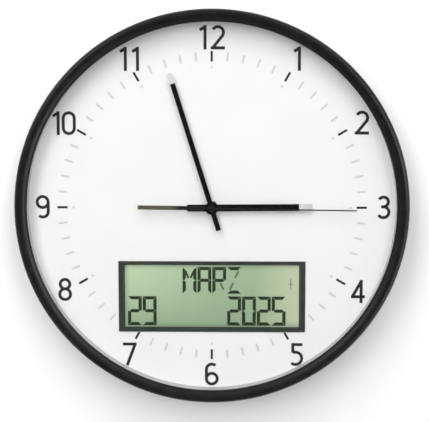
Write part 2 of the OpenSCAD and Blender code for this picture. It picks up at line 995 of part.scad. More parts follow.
// The bar in the middle of a character, pointed at both ends
module middle_bar(from, to) {
    l = norm(to - from);
    e = segment_t / 2;
    from_corner(from, to)
        polygon([
            [segment_gap, 0], [segment_gap + e, e], [l - segment_gap - e, e],
            [l - segment_gap, 0], [l - segment_gap - e, -e], [segment_gap + e, -e]
        ]);
}

// A thinner slanting segment between a corner and the middle
module slant(from, to) {
    l = norm(to - from);
    from_corner(from, to)
        translate([slant_back, -slant_w / 2])
            square([l - 2 * slant_back, slant_w]);
}

// Lit segments of each character: a to g as on a digit, n and p the upper slants, q and r the lower ones
function lit(c) =
    c == "0" ? "abcdef" :
    c == "2" ? "abged" :
    c == "5" ? "afgcd" :
    c == "9" ? "abcdfg" :
    c == "M" ? "efbcnp" :
    c == "A" ? "efabcg" :
    c == "R" ? "efabgr" :
    c == "Z" ? "apqd" : "";

function is_lit(c, s) = len(search(s, lit(c))) > 0;

module character(c, h) {
    e = segment_t / 2;
    left = e;
    right = digit_w - e;
    low = e;
    high = h - e;
    mid_y = h / 2;
    mid = [digit_w / 2, mid_y];
    if (is_lit(c, "a")) end_bar([left, high], [right, high], 1);
    if (is_lit(c, "b")) half_upright([right, high], [right, mid_y], 1);
    if (is_lit(c, "c")) half_upright([right, low], [right, mid_y], -1);
    if (is_lit(c, "d")) end_bar([left, low], [right, low], -1);
    if (is_lit(c, "e")) half_upright([left, low], [left, mid_y], 1);
    if (is_lit(c, "f")) half_upright([left, high], [left, mid_y], -1);
    if (is_lit(c, "g")) middle_bar([left, mid_y], [right, mid_y]);
    if (is_lit(c, "n")) slant([left, high], mid);
    if (is_lit(c, "p")) slant([right, high], mid);
    if (is_lit(c, "q")) slant([left, low], mid);
    if (is_lit(c, "r")) slant([right, low], mid);
}

// A row of characters that starts at a place
module characters(words, at, h) {
    for (i = [0:len(words) - 1])
        translate(at + [i * digit_pitch, 0])
            character(words[i], h);
}

// A mast with two arms, the mark for radio reception
module signal_mast() {
    translate([-mast_w / 2, 0])
        square([mast_w, mast_h]);
    translate([-mast_arm_w / 2, mast_h * mast_arm_share])
        square([mast_arm_w, mast_w]);
}

module lcd_characters() {
    letters_y = view_h / 2 - letters_down - letter_h;
    digits_y = digits_up - view_h / 2;
    row_w = 3 * digit_pitch + digit_w;
    year_x = view_w / 2 - year_in - row_w;
    color("#2b3b26")
    translate([0, display_y, lcd_front])
        linear_extrude(ink_t) {
            characters("MARZ", [-row_w / 2, letters_y], letter_h);
            characters("29", [day_in - view_w / 2, digits_y], digit_h);
            characters("2025", [year_x, digits_y], digit_h);
            translate([view_w / 2 - mast_in, mast_up])
                signal_mast();
        }
}

module contact_strips() {
    color("#d9d2c4")
    translate([0, display_y, 0])
        for (side = [-1, 1])
            translate([0, side * (glass_y - glass_ledge / 2), 0])
                block(glass_x - strip_short, strip_w / 2, board_front, lcd_back + glass_t);
}

module display_board() {
    color("#2f6b3c")
    translate([0, display_y, 0])
        difference() {
            block(flange_x, flange_y, board_back, board_front);
            at_corners(board_screw_x, board_screw_y)
                rod(board_screw_d / 2 + run, board_back - cut, board_front + cut);
        }
}

// A blob of resin: the cap of a ball that is cut by the board
module chip_blob(r, h) {
    ball_r = (r * r + h * h) / (2 * h);
    intersection() {
        translate([0, 0, ball_r - h])
            sphere(ball_r);
        rod(r, -h, 0);
    }
}

module display_chip() {
    color("#151515")
    translate([button_first_x, display_y + glass_y - display_chip_down, board_back])
        chip_blob(display_chip_r, display_chip_h);
}

module push_switches() {
    color("#55585c")
    at_buttons() {
        block(switch_side / 2, switch_side / 2, board_back - switch_h, board_back);
        rod(switch_plunger_r, switch_tip, board_back - switch_h);
    }
}

module board_screws() {
    color("#9a9ca0")
    translate([0, display_y, 0])
        at_corners(board_screw_x, board_screw_y) {
            rod(board_screw_d / 2, board_back, dial_back - board_screw_end - slip);
            rod(board_screw_head_r, board_back - board_screw_head_h, board_back);
        }
}

// A button: cap in the plate, rim behind it, stem towards the switch
module setting_button(i) {
    rim_z = plate_t + button_play;
    dish_r = 2 * button_d;
    dish_depth = 0.3;
    color("#d8d8d6")
    at_button(i)
        difference() {
            union() {
                rod(button_d / 2, rear_inset, rim_z);
                rod(button_d / 2 + button_rim, rim_z, rim_z + button_rim_t);
                rod(button_stem_r, rim_z, switch_tip - button_travel - button_play);
            }
            translate([0, 0, rear_inset + dish_depth - dish_r])
                sphere(dish_r);
        }
}

module set_button() {
    setting_button(0);
}

module up_button() {
    setting_button(1);
}

module down_button() {
    setting_button(2);
}

module language_button() {
    setting_button(3);
}

module battery_door() {
    color("#242426")
    at_tray()
        difference() {
            block(tray_l / 2 + door_lap, tray_w / 2 + door_lap, rear_inset, plate_t - button_play);
            for (i = [0:groove_n - 1])
                translate([tray_l / 2 - groove_in - i * groove_pitch, 0, 0])
                    block(groove_w / 2, tray_w / 4, rear_inset - cut, rear_inset + groove_depth);
        }
}

// A dry cell along x, with its nub at the positive end
module dry_cell(d, l) {
    cross_rod(d / 2 - cell_wrap_gap, -l / 2, l / 2 - cell_nub_l);
    cross_rod(d * cell_nub_share, l / 2 - cell_nub_l, l / 2);
}

// A bent contact strip between the end wall of a bay and the end of a cell
module contact(room, w, h) {
    rotate([90, 0, 0])
        translate([0, 0, -w / 2])
            linear_extrude(w) {
                square([contact_t, h]);
                translate([0, h - contact_t])
                    square([room - push, contact_t]);
                translate([room - push - contact_t, h * 0.2])
                    square([contact_t, h * 0.8]);
            }
}

module small_cells() {
    color("#c8a24a")
    at_tray()
        for (side = [-1, 1])
            translate([0, side * small_cell_pitch / 2, small_cell_z])
                rotate([0, 0, side * 90 + 90])
                    dry_cell(small_cell_d, small_cell_l);
}

module small_cell_contacts() {
    h = small_cell_d * 0.8;
    color("#c9ccd0")
    at_tray()
        for (side = [-1, 1])
            for (end = [0, 180])
                translate([0, side * small_cell_pitch / 2, tray_floor - h])
                    rotate([0, 0, end])
                        translate([-tray_l / 2, 0, 0])
                            contact(contact_room, small_cell_d * 0.7, h);
}

module antenna_rod() {
    color("#3b3836")
    translate([0, antenna_rise, antenna_z])
        cross_rod(antenna_r, -antenna_l / 2, antenna_l / 2);
}

module antenna_coil() {
    color("#b5703a")
    translate([0, antenna_rise, antenna_z])
        difference() {
            cross_rod(antenna_r + antenna_coil_t, -antenna_coil_l / 2, antenna_coil_l / 2);
            cross_rod(antenna_r + push, -antenna_coil_l, antenna_coil_l);
        }
}

// Movement: shells

module at_idler(side) {
    translate([side * -idler_at[0], idler_at[1], 0])
        children();
}

module at_rotor(side) {
    translate([side * -rotor_at[0], rotor_at[1], 0])
        children();
}

module at_motion() {
    translate([motion_at[0], motion_at[1], 0])
        children();
}

// Places of the four arbors that turn in both shells
module at_arbors() {
    for (side = [-1, 1]) {
        at_idler(side)
            children();
        at_rotor(side)
            children();
    }
}

module at_plate_posts() {
    for (side = [-1, 1])
        translate([side * post_x, post_y, 0])
            children();
}

module at_board_spacers() {
    for (side = [-1, 1])
        translate([side * board_spacer_x, board_spacer_y, 0])
            children();
}

module movement_front_shell() {
    half = movement_side / 2;
    color("#26282b")
    difference() {
        union() {
            difference() {
                block(half, half, cover_in, movement_front);
                block(movement_in, movement_in, cover_in - cut, shell_in);
            }
            rod(bush_d / 2, movement_front, bush_end);
            at_plate_posts() {
                rod(post_r, plate_level + train_plate_t, shell_in);
                rod(post_pin_r, plate_level, plate_level + train_plate_t);
            }
            at_motion() {
                rod(stud_r, plate_level, shell_in);
                rod(stud_boss_r, hour_level + wheel_t + pinion_over + shoulder_play, shell_in);
            }
            at_board_spacers()
                rod(board_spacer_r, shell_in - movement_board_gap, shell_in);
        }
        rod(hour_tube_d / 2 + run, shell_in - cut, bush_end + cut);
        at_arbors()
            rod(pivot_d / 2 + run, shell_in - cut, shell_in + bearing_depth + run);
    }
}

// Posts on the rear cover that carry the stators
module coil_posts(side, top) {
    at_rotor(side)
        for (leg = [-1, 1])
            translate([leg * leg_reach, coil_rise, 0])
                rod(coil_post_r, cover_in, top);
}

module movement_rear_cover() {
    half = movement_side / 2;
    color("#2b2d30")
    difference() {
        union() {
            block(half, half, movement_rear, cover_in);
            translate([0, cell_y, 0])
                block(bay_x + bay_wall, bay_half + bay_wall, movement_rear, bay_floor + bay_wall);
            coil_posts(-1, stator_z(second_idler_level));
            coil_posts(1, stator_z(minute_idler_level));
        }
        translate([0, cell_y, 0])
            block(bay_x, bay_half, movement_rear - cut, bay_floor);
        at_arbors()
            rod(pivot_d / 2 + run, cover_in - bearing_depth - run, cover_in + cut);
        rod(second_shaft_d / 2 + run, cover_in - bearing_depth - run, cover_in + cut);
        translate([0, set_button_y, 0])
            rod(set_button_r + button_fit, movement_rear - cut, cover_in + cut);
    }
}

module fixing_washer() {
    color("#2a2a2a")
    difference() {
        rod(washer_r, movement_front, dial_back);
        rod(bush_d / 2 + push, movement_front - cut, dial_back + cut);
    }
}

module fixing_nut() {
    color("#1a1a1a")
    translate([0, 0, dial_front])
        difference() {
            cylinder(d = nut_flats / cos(30), h = nut_t, $fn = 6);
            rod(bush_d / 2 + push, -cut, nut_t + cut);
        }
}

// Movement: trains

// Outline of a toothed wheel, one tooth pointing along x before it is turned
module teeth(n, module_size, turn = 0) {
    pitch_r = n * module_size / 2;
    root_r = pitch_r - tooth_depth * module_size;
    tip_r = pitch_r + tooth_height * module_size;
    root_a = tooth_root_share * 180 / n;
    tip_a = tooth_tip_share * 180 / n;
    corners = [[root_r, -root_a], [tip_r, -tip_a], [tip_r, tip_a], [root_r, root_a]];
    rotate(turn)
        polygon([
            for (i = [0:n - 1])
                for (c = corners)
                    c[0] * [cos(c[1] + i * 360 / n), sin(c[1] + i * 360 / n)]
        ]);
}

module toothed(n, module_size, z0, z1, turn = 0) {
    translate([0, 0, z0])
        linear_extrude(z1 - z0)
            teeth(n, module_size, turn);
}

// Turn of a wheel that meshes with another wheel at rest; the angle points from that wheel to this one
function mesh_turn(n, other_n, other_turn, angle) =
    angle + 180 + 180 / n - (other_turn - angle) * other_n / n;

function mirror_angle(side, angle) = side < 0 ? angle : 180 - angle;

idler_turn_left = mesh_turn(idler_pinion_teeth, hand_wheel_teeth, 0, idler_angle);
rotor_turn_left = mesh_turn(rotor_teeth, idler_teeth, idler_turn_left, rotor_angle);
idler_turn_right = mesh_turn(idler_pinion_teeth, hand_wheel_teeth, 0, mirror_angle(1, idler_angle));
rotor_turn_right = mesh_turn(rotor_teeth, idler_teeth, idler_turn_right, mirror_angle(1, rotor_angle));
motion_turn = mesh_turn(motion_teeth, minute_pinion_teeth, 0, motion_angle);
hour_turn = mesh_turn(hour_teeth, motion_pinion_teeth, motion_turn, motion_angle + 180);

// Round holes that lighten a wheel
module wheel_holes(pitch_r, z) {
    hole_n = 5;
    for (i = [0:hole_n - 1])
        rotate([0, 0, i * 360 / hole_n])
            translate([pitch_r * wheel_hole_share, 0, 0])
                rod(pitch_r * 0.2, z - cut, z + wheel_t + cut);
}

// An arbor with a pivot at each end, from the rear cover to the front shell
module arbor() {
    rod(arbor_d / 2, cover_in + shoulder_play, shell_in - shoulder_play);
    rod(pivot_d / 2, cover_in - bearing_depth, shell_in + bearing_depth);
}

module idler(side, level, mesh_level, turn) {
    at_idler(side) {
        difference() {
            toothed(idler_teeth, rotor_module, level, level + wheel_t, turn);
            wheel_holes(idler_teeth * rotor_module / 2, level);
        }
        toothed(idler_pinion_teeth, train_module, level, mesh_level + wheel_t + pinion_over, turn);
        arbor();
    }
}

function magnet_z(level) = level + wheel_t + pinion_over + magnet_gap;
function stator_z(level) = magnet_z(level) + stator_rise;

module rotor(side, level, turn) {
    pinion_low = 0.1;
    at_rotor(side) {
        toothed(rotor_teeth, rotor_module, level - pinion_low, level + wheel_t + pinion_over, turn);
        rod(magnet_d / 2, magnet_z(level), magnet_z(level) + magnet_t);
        rod(pivot_d / 2, cover_in - bearing_depth, shell_in + bearing_depth);
        rod(arbor_d / 2, level + wheel_t + pinion_over, shell_in - shoulder_play);
    }
}

module stator(side, level) {
    eye_r = magnet_d / 2 + stator_eye_gap;
    ring_r = eye_r + stator_ring;
    at_rotor(side)
        translate([0, 0, stator_z(level)])
            linear_extrude(stator_t)
                difference() {
                    union() {
                        circle(ring_r);
                        for (leg = [-1, 1]) {
                            translate([leg * leg_reach - leg_w / 2, 0])
                                square([leg_w, coil_rise + coil_core_w / 2]);
                            translate([leg > 0 ? 0 : -leg_reach, 0])
                                square([leg_reach, stator_ring]);
                        }
                        translate([-leg_reach, coil_rise - coil_core_w / 2])
                            square([2 * leg_reach, coil_core_w]);
                    }
                    circle(eye_r);
                }
}

module coil(side, level) {
    core_x = coil_core_w / 2 + push;
    middle = stator_z(level) + stator_t / 2;
    at_rotor(side)
        translate([0, coil_rise, middle])
            difference() {
                union() {
                    cross_rod(coil_d / 2, -coil_l / 2, coil_l / 2);
                    for (end = [-coil_l / 2, coil_l / 2])
                        cross_rod(coil_d / 2 + bobbin_over, end - bobbin_t / 2, end + bobbin_t / 2);
                }
                block(coil_l, core_x, -stator_t / 2 - push, stator_t / 2 + push);
            }
}

module second_rotor() {
    color("#6d6f73")
    rotor(-1, second_idler_level, rotor_turn_left);
}

module minute_rotor() {
    color("#6d6f73")
    rotor(1, minute_idler_level, rotor_turn_right);
}

module second_stator() {
    color("#9fa2a6")
    stator(-1, second_idler_level);
}

module minute_stator() {
    color("#9fa2a6")
    stator(1, minute_idler_level);
}

module second_coil() {
    color("#b5622c")
    coil(-1, second_idler_level);
}

module minute_coil() {
    color("#b5622c")
    coil(1, minute_idler_level);
}

module second_idler() {
    color("#e8e4d8")
    idler(-1, second_idler_level, second_level, idler_turn_left);
}

module minute_idler() {
    color("#e8e4d8")
    idler(1, minute_idler_level, minute_level, idler_turn_right);
}

module second_wheel() {
    shaft_end = second_hand_z + collet_h - second_cap_t - tube_short;
    color("#e8e4d8") {
        difference() {
            toothed(hand_wheel_teeth, train_module, second_level, second_level + wheel_t);
            wheel_holes(hand_wheel_teeth * train_module / 2, second_level);
        }
        rod(arbor_d / 2, cover_in + shoulder_play, second_level + wheel_t + pinion_over);
        rod(second_shaft_d / 2, cover_in - bearing_depth, shaft_end);
    }
}

module minute_wheel() {
    color("#e8e4d8")
    difference() {
        union() {
            difference() {
                toothed(hand_wheel_teeth, train_module, minute_level, minute_level + wheel_t);
                wheel_holes(hand_wheel_teeth * train_module / 2, minute_level);
            }
            rod(hub_r, minute_level - pinion_over, minute_level + wheel_t);
            rod(minute_tube_d / 2, minute_level, minute_hand_z + collet_h - tube_short);
            toothed(minute_pinion_teeth, motion_module, plate_level + train_plate_t + shoulder_play,
                    motion_level + wheel_t + shoulder_play);
        }
        rod(second_shaft_d / 2 + run, minute_level - layer, minute_hand_z + 2 * collet_h);
    }
}

module motion_wheel() {
    pinion_end = hour_level + wheel_t + pinion_over;
    color("#e8e4d8")
    at_motion()
        difference() {
            union() {
                difference() {
                    toothed(motion_teeth, motion_module, motion_level, motion_level + wheel_t, motion_turn);
                    wheel_holes(motion_teeth * motion_module / 2, motion_level);
                }
                rod(hub_r, plate_level + train_plate_t + shoulder_play, motion_level + wheel_t);
                toothed(motion_pinion_teeth, hour_module, motion_level, pinion_end, motion_turn);
            }
            rod(stud_r + run, motion_level - layer, hour_level + layer + wheel_t);
        }
}

module hour_wheel() {
    color("#e8e4d8")
    difference() {
        union() {
            toothed(hour_teeth, hour_module, hour_level, hour_level + wheel_t, hour_turn);
            rod(hour_tube_d / 2, hour_level, hour_hand_z + collet_h - tube_short);
        }
        rod(minute_tube_d / 2 + run, hour_level - cut, hour_hand_z + 2 * collet_h);
    }
}

module train_plate() {
    mid_y = (train_plate_high + train_plate_low) / 2;
    color("#c9c3b2")
    difference() {
        union() {
            translate([0, mid_y, 0])
                block(train_plate_x, train_plate_high - mid_y, plate_level, plate_level + train_plate_t);
            at_motion()
                rod(stud_tongue_r, plate_level, plate_level + train_plate_t);
        }
        rod(minute_pinion_teeth * motion_module / 2 + motion_module + slip, plate_level - cut, motion_level);
        for (side = [-1, 1])
            at_idler(side)
                rod(arbor_d / 2 + slip, plate_level - cut, motion_level);
        at_plate_posts()
            rod(post_pin_r + push, plate_level - cut, motion_level);
        at_motion()
            rod(stud_r + push, plate_level - cut, motion_level);
    }
}

// Movement: electronics and cell

module movement_board() {
    mid_y = (movement_board_low + movement_board_high) / 2;
    color("#2f6b3c")
    translate([0, mid_y, 0])
        block(
            movement_board_x, movement_board_high - mid_y,
            movement_board_back, movement_board_back + movement_board_t
        );
}

module quartz_crystal() {
    color("#c9ccd0")
    translate([0, crystal_y, movement_board_back - crystal_r])
        cross_rod(crystal_r, -crystal_l / 2, crystal_l / 2);
}

module movement_chip() {
    color("#151515")
    translate([chip_x, chip_y, 0])
        block(chip_side / 2, chip_side / 2, movement_board_back - chip_t, movement_board_back);
}

module movement_switch() {
    half = set_switch_side / 2;
    color("#55585c")
    translate([0, set_button_y, 0]) {
        block(half, half, movement_board_back - set_switch_h, movement_board_back);
        rod(set_switch_plunger_r, set_switch_tip, movement_board_back - set_switch_h);
    }
}

module hand_set_button() {
    rim_z = cover_in + button_play;
    color("#d8d8d6")
    translate([0, set_button_y, 0]) {
        rod(set_button_r, movement_rear + rear_inset, rim_z);
        rod(set_button_r + set_button_rim, rim_z, rim_z + button_rim_t);
        rod(set_button_stem_r, rim_z, set_switch_tip - button_travel - button_play);
    }
}

module movement_cell() {
    color("#b8892f")
    translate([0, cell_y, cell_z])
        dry_cell(cell_d, cell_l);
}

module movement_cell_contacts() {
    room = bay_x - cell_l / 2;
    h = cell_d * 0.8;
    color("#c9ccd0")
    for (end = [0, 180])
        translate([0, cell_y, bay_floor - h])
            rotate([0, 0, end])
                translate([-bay_x, 0, 0])
                    contact(room, cell_d * 0.6, h);
}

// Hands, drawn along y and turned clockwise from twelve

module at_hand(angle, z) {
    rotate([0, 0, -angle])
        translate([0, 0, z])
            children();
}

// A hand's blade with its hub and collet, pushed on its tube; a cap closes the collet of the top hand
module hand_on(tube_d, hub_radius, cap_t = 0) {
    bore_end = cap_t > 0 ? collet_h - cap_t : collet_h + cut;
    difference() {
        union() {
            linear_extrude(hand_t) {
                circle(hub_radius);
                children();
            }
            rod(tube_d / 2 + collet_wall, 0, collet_h);
        }
        rod(tube_d / 2 + push, -cut, bore_end);
    }
}

module blade(low, high, w) {
    translate([-w / 2, low])
        square([w, high - low]);
}

module hour_hand() {
    color("#161617")
    at_hand(hour_angle, hour_hand_z)
        hand_on(hour_tube_d, hour_hub_r)
            blade(-hour_tail_l, hour_hand_l - hour_tip_l, hour_hand_w);
}

module hour_hand_tip() {
    color("#c9c9c6")
    at_hand(hour_angle, hour_hand_z)
        linear_extrude(hand_t)
            blade(hour_hand_l - hour_tip_l, hour_hand_l, hour_hand_w);
}

module minute_hand() {
    color("#161617")
    at_hand(minute_angle, minute_hand_z)
        hand_on(minute_tube_d, minute_hub_r)
            blade(-minute_tail_l, minute_hand_l - minute_tip_l, minute_hand_w);
}

module minute_hand_tip() {
    color("#c9c9c6")
    at_hand(minute_angle, minute_hand_z)
        linear_extrude(hand_t)
            blade(minute_hand_l - minute_tip_l, minute_hand_l, minute_hand_w);
}

module second_hand() {
    color("#4d4a3c")
    at_hand(second_angle, second_hand_z)
        hand_on(second_shaft_d, second_hub_r, second_cap_t) {
            blade(-second_tail_l, second_hand_l, second_hand_w);
            blade(-second_tail_l, second_weight_l - second_tail_l, second_weight_w);
        }
}

hung() front_ring();
hung() lens();
hung() spacer_ring();
hung() dial();
hung() hour_numerals();
hung() hour_marks();
hung() minute_marks();
hung() rear_housing();
hung() case_screws();
hung() lcd_frame();
hung() lcd_cell();
hung() lcd_characters();
hung() contact_strips();
hung() display_board();
hung() display_chip();
hung() push_switches();
hung() board_screws();
hung() set_button();
hung() up_button();
hung() down_button();
hung() language_button();
hung() battery_door();
hung() small_cells();
hung() small_cell_contacts();
hung() antenna_rod();
hung() antenna_coil();
hung() movement_front_shell();
hung() movement_rear_cover();
hung() fixing_washer();
hung() fixing_nut();
hung() train_plate();
hung() second_rotor();
hung() second_stator();
hung() second_coil();
hung() second_idler();
hung() second_wheel();
hung() minute_rotor();
hung() minute_stator();
hung() minute_coil();
hung() minute_idler();
hung() minute_wheel();
hung() motion_wheel();
hung() hour_wheel();
hung() movement_board();
hung() quartz_crystal();
hung() movement_chip();
hung() movement_switch();
hung() hand_set_button();
hung() movement_cell();
hung() movement_cell_contacts();
hung() hour_hand();
hung() hour_hand_tip();
hung() minute_hand();
hung() minute_hand_tip();
hung() second_hand();
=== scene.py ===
# %% [markdown]
# # A round wall clock with a date display
# The clock's solids are drawn elsewhere, in real millimetres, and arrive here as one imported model.
# This lesson gives them their looks: a camera, a wall, soft light, a finish for every piece, and
# small moulded marks. The back of the case lies on the plane y = 0, the front looks along -y, and
# the hanging hole is the origin.

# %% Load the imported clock
import math

import bpy
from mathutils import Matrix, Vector


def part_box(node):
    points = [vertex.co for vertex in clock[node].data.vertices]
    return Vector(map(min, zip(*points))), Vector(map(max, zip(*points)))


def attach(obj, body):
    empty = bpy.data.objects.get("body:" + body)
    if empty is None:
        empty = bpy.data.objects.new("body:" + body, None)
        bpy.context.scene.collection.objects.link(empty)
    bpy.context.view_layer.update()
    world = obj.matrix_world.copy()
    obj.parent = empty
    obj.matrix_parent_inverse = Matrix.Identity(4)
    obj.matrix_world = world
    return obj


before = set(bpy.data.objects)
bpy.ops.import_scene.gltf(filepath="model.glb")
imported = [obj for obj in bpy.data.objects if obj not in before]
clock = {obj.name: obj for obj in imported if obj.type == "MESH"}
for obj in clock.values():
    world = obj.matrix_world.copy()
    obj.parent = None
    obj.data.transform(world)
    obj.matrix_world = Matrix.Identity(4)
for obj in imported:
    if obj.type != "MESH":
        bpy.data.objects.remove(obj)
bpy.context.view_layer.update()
bpy.ops.object.select_all(action="DESELECT")
print("pieces loaded:", len(clock))

# %% [markdown]
# ## Where the camera stands
# The photo looks slightly down on the clock and from a little to its right. The eye and the point
# that it looks at were found by trying camera places until the ring, the display and the numerals
# fell where the photo has them. A long lens from about 0.8 m keeps the ring nearly round, so no
# shift is needed.

# %% Camera
EYE = Vector((0.01647, -0.8058, -0.0326))
LOOK_AT = Vector((0.00165, 0.0, -0.11532))
FOCAL_LENGTH = 85.28
SENSOR_WIDTH = 36.0

camera = bpy.data.cameras.new("camera")
camera.lens = FOCAL_LENGTH
camera.sensor_fit = "HORIZONTAL"
camera.sensor_width = SENSOR_WIDTH
viewer = bpy.data.objects.new("camera", camera)
viewer.location = EYE
viewer.rotation_euler = (LOOK_AT - EYE).to_track_quat("-Z", "Y").to_euler()
bpy.context.scene.collection.objects.link(viewer)
bpy.context.scene.camera = viewer
print("camera distance:", round((LOOK_AT - EYE).length, 3), "m")

# %% [markdown]
# ## Small tools for node trees
# Every finish below is a handful of nodes. Written out in full they would hide the idea of each
# finish, so a few short helpers add a node and fill its sockets, mix two colours, or stretch a 0 to
# 1 value to another range.

# %% Node helpers
def put(tree, kind, inputs=None, **settings):
    """Adds a node, sets it up, and fills its inputs with plain values or with other nodes' outputs."""
    node = tree.nodes.new(kind)
    for key, value in settings.items():
        setattr(node, key, value)
    for key, value in (inputs or {}).items():
        if isinstance(value, bpy.types.NodeSocket):
            tree.links.new(value, node.inputs[key])
        else:
            node.inputs[key].default_value = value
    return node


def colour(level, green=None, blue=None):
    """A linear colour, grey where only one level is given."""
    if green is None:
        return (level, level, level, 1.0)
    return (level, green, blue, 1.0)


def mixed(tree, share, first, second):
    return put(tree, "ShaderNodeMix", {0: share, 6: first, 7: second}, data_type="RGBA").outputs[2]


def spread(tree, value, low, high, start=0.0, end=1.0):
    """Stretches a value that runs from start to end so that it runs from low to high."""
    limits = {"Value": value, "From Min": start, "From Max": end, "To Min": low, "To Max": high}
    return put(tree, "ShaderNodeMapRange", limits).outputs["Result"]


def maths(tree, operation, first, second=0.0):
    return put(tree, "ShaderNodeMath", {0: first, 1: second}, operation=operation).outputs[0]


def bumped(tree, height, depth):
    return put(tree, "ShaderNodeBump", {"Height": height, "Distance": depth}).outputs["Normal"]


def noise(tree, place, scale, detail):
    """A cloudy value between 0 and 1: the scale counts the clouds in a metre, the detail adds finer ones."""
    settings = {"Vector": place, "Scale": scale, "Detail": detail}
    return put(tree, "ShaderNodeTexNoise", settings).outputs["Fac"]


def object_place(tree):
    return put(tree, "ShaderNodeTexCoord").outputs["Object"]


print("node helpers ready")

# %% [markdown]
# ## The wall and the floor
# The clock hangs on a plain white wall that only has to catch its shadow. The wall is one-sided:
# seen from behind it is clear, so that the back of the clock can be looked at, and light that
# bounces passes it. The lamps alone lift its paint to paper white, so the shadow stays. The floor
# is kept out of mirrors, because the ring's upper slope would show it as a pale streak that a clock
# high on a wall doesn't have.

# %% Wall and floor
WALL_SIZE = 9.0
WALL_GAP = 0.0004
WALL_TONE = 0.92
FLOOR_TONE = 0.55
FLOOR_DROP = 1.3
FLECK_SCALE = 700.0
FLECK_DEPTH = 0.01


def seen_rays(tree):
    """1 for the rays that look at the stage: from the camera, in a mirror, or through glass."""
    path = put(tree, "ShaderNodeLightPath")
    mirrored = maths(tree, "MAXIMUM", path.outputs["Is Camera Ray"], path.outputs["Is Glossy Ray"])
    return maths(tree, "MAXIMUM", mirrored, path.outputs["Is Transmission Ray"])


def stage_finish(name, tone, one_sided):
    material = bpy.data.materials.new(name)
    material.use_nodes = True
    tree = material.node_tree
    tree.nodes.clear()
    fleck = noise(tree, object_place(tree), FLECK_SCALE, 3.0)
    shade = mixed(tree, fleck, colour(tone - FLECK_DEPTH), colour(tone))
    face = put(tree, "ShaderNodeBsdfDiffuse", {"Color": shade}).outputs[0]
    if one_sided:
        behind = put(tree, "ShaderNodeNewGeometry").outputs["Backfacing"]
        front = maths(tree, "MULTIPLY", seen_rays(tree), maths(tree, "SUBTRACT", 1.0, behind))
        clear = put(tree, "ShaderNodeBsdfTransparent")
        face = put(tree, "ShaderNodeMixShader", {0: front, 1: clear.outputs[0], 2: face}).outputs[0]
    put(tree, "ShaderNodeOutputMaterial", {"Surface": face})
    return material


def stage_plane(name, place, turn, material):
    bpy.ops.mesh.primitive_plane_add(size=WALL_SIZE, location=place, rotation=turn)
    plane = bpy.context.active_object
    plane.name = name
    plane.data.materials.append(material)
    bpy.ops.object.transform_apply(location=True, rotation=True, scale=True)
    bpy.ops.object.select_all(action="DESELECT")
    return plane


wall_paint = stage_finish("wall_paint", WALL_TONE, True)
floor_paint = stage_finish("floor_paint", FLOOR_TONE, False)
stage_plane("wall", (0.0, WALL_GAP, 0.0), (math.radians(90.0), 0.0, 0.0), wall_paint)
floor = stage_plane("floor", (0.0, 0.0, -FLOOR_DROP), (0.0, 0.0, 0.0), floor_paint)
floor.visible_glossy = False
print("wall at y =", WALL_GAP, "and floor at z =", -FLOOR_DROP)

# %% [markdown]
# ## Soft studio light
# In the photo the shadow falls below the clock and a little to both sides, and none lies above it.
# The ring's own shade on the dial is wide and faint. So two tall lamps stand high in front, one on
# each side and the left one stronger, a wide one stands behind the camera, and a pale world fills
# the shadows. Lamps as strong as these would lie as a grey veil on the black hands and the print,
# so mirrors don't see them. Four weaker lamps that only mirrors see put the sheen on the ring where
# the photo has it. One more lamp stands behind the wall, for looking at the back.

# %% World and lamps
WORLD_LEVEL = 0.28
CENTRE = Vector((0.0, 0.0, -0.11))
LAMP_DISTANCE = 1.8
# Degrees to the right, degrees up, width and height in metres, watts
KEYS = {
    "left_lamp": (-22.0, 32.0, 0.6, 1.8, 19.0),
    "right_lamp": (18.0, 32.0, 0.6, 1.8, 13.8),
    "front_lamp": (0.0, 6.0, 1.2, 0.6, 7.5),
}
SHEEN_SIDE = 0.7
# Degrees to the right, degrees up, watts
SHEENS = {
    "right_sheen": (50.0, 12.0, 5.5),
    "left_sheen": (-36.0, 26.0, 4.0),
    "top_sheen": (34.0, 32.0, 2.0),
    "low_sheen": (46.0, -22.0, 4.5),
}
BACK_PLACE = Vector((-0.7, 1.6, 0.7))
BACK_SIZE = (1.6, 1.2)
BACK_WATTS = 34.0


def area_lamp(name, place, width, height, watts, hidden_from=()):
    lamp = bpy.data.lights.new(name, "AREA")
    lamp.shape = "RECTANGLE"
    lamp.size = width
    lamp.size_y = height
    lamp.energy = watts
    holder = bpy.data.objects.new(name, lamp)
    holder.location = place
    holder.rotation_euler = (CENTRE - place).to_track_quat("-Z", "Y").to_euler()
    for ray in hidden_from:
        setattr(holder, "visible_" + ray, False)
    bpy.context.scene.collection.objects.link(holder)


def around_clock(aside, rise, distance):
    """A place in front of the clock, turned aside to the right and raised by these degrees."""
    turn = math.radians(aside)
    lift = math.radians(rise)
    ahead = math.cos(lift) * distance
    return CENTRE + Vector((ahead * math.sin(turn), -ahead * math.cos(turn), math.sin(lift) * distance))


world = bpy.data.worlds.new("pale_room")
world.use_nodes = True
world.node_tree.nodes["Background"].inputs["Color"].default_value = colour(1.0)
world.node_tree.nodes["Background"].inputs["Strength"].default_value = WORLD_LEVEL
bpy.context.scene.world = world
for name, (aside, rise, width, height, watts) in KEYS.items():
    place = around_clock(aside, rise, LAMP_DISTANCE)
    area_lamp(name, place, width, height, watts, ("glossy", "transmission"))
for name, (aside, rise, watts) in SHEENS.items():
    place = around_clock(aside, rise, LAMP_DISTANCE)
    area_lamp(name, place, SHEEN_SIDE, SHEEN_SIDE, watts, ("diffuse", "transmission"))
area_lamp("back_lamp", BACK_PLACE, *BACK_SIZE, BACK_WATTS)
bpy.context.scene.view_settings.view_transform = "Standard"

# %% [markdown]
# ## A black card
# The flat lens would mirror the pale world, so a black card stands in front of the clock, as
# photographers do. Only mirrors and glass see it. It lets light through that has already left the
# dial, so that the dial isn't darkened by it.

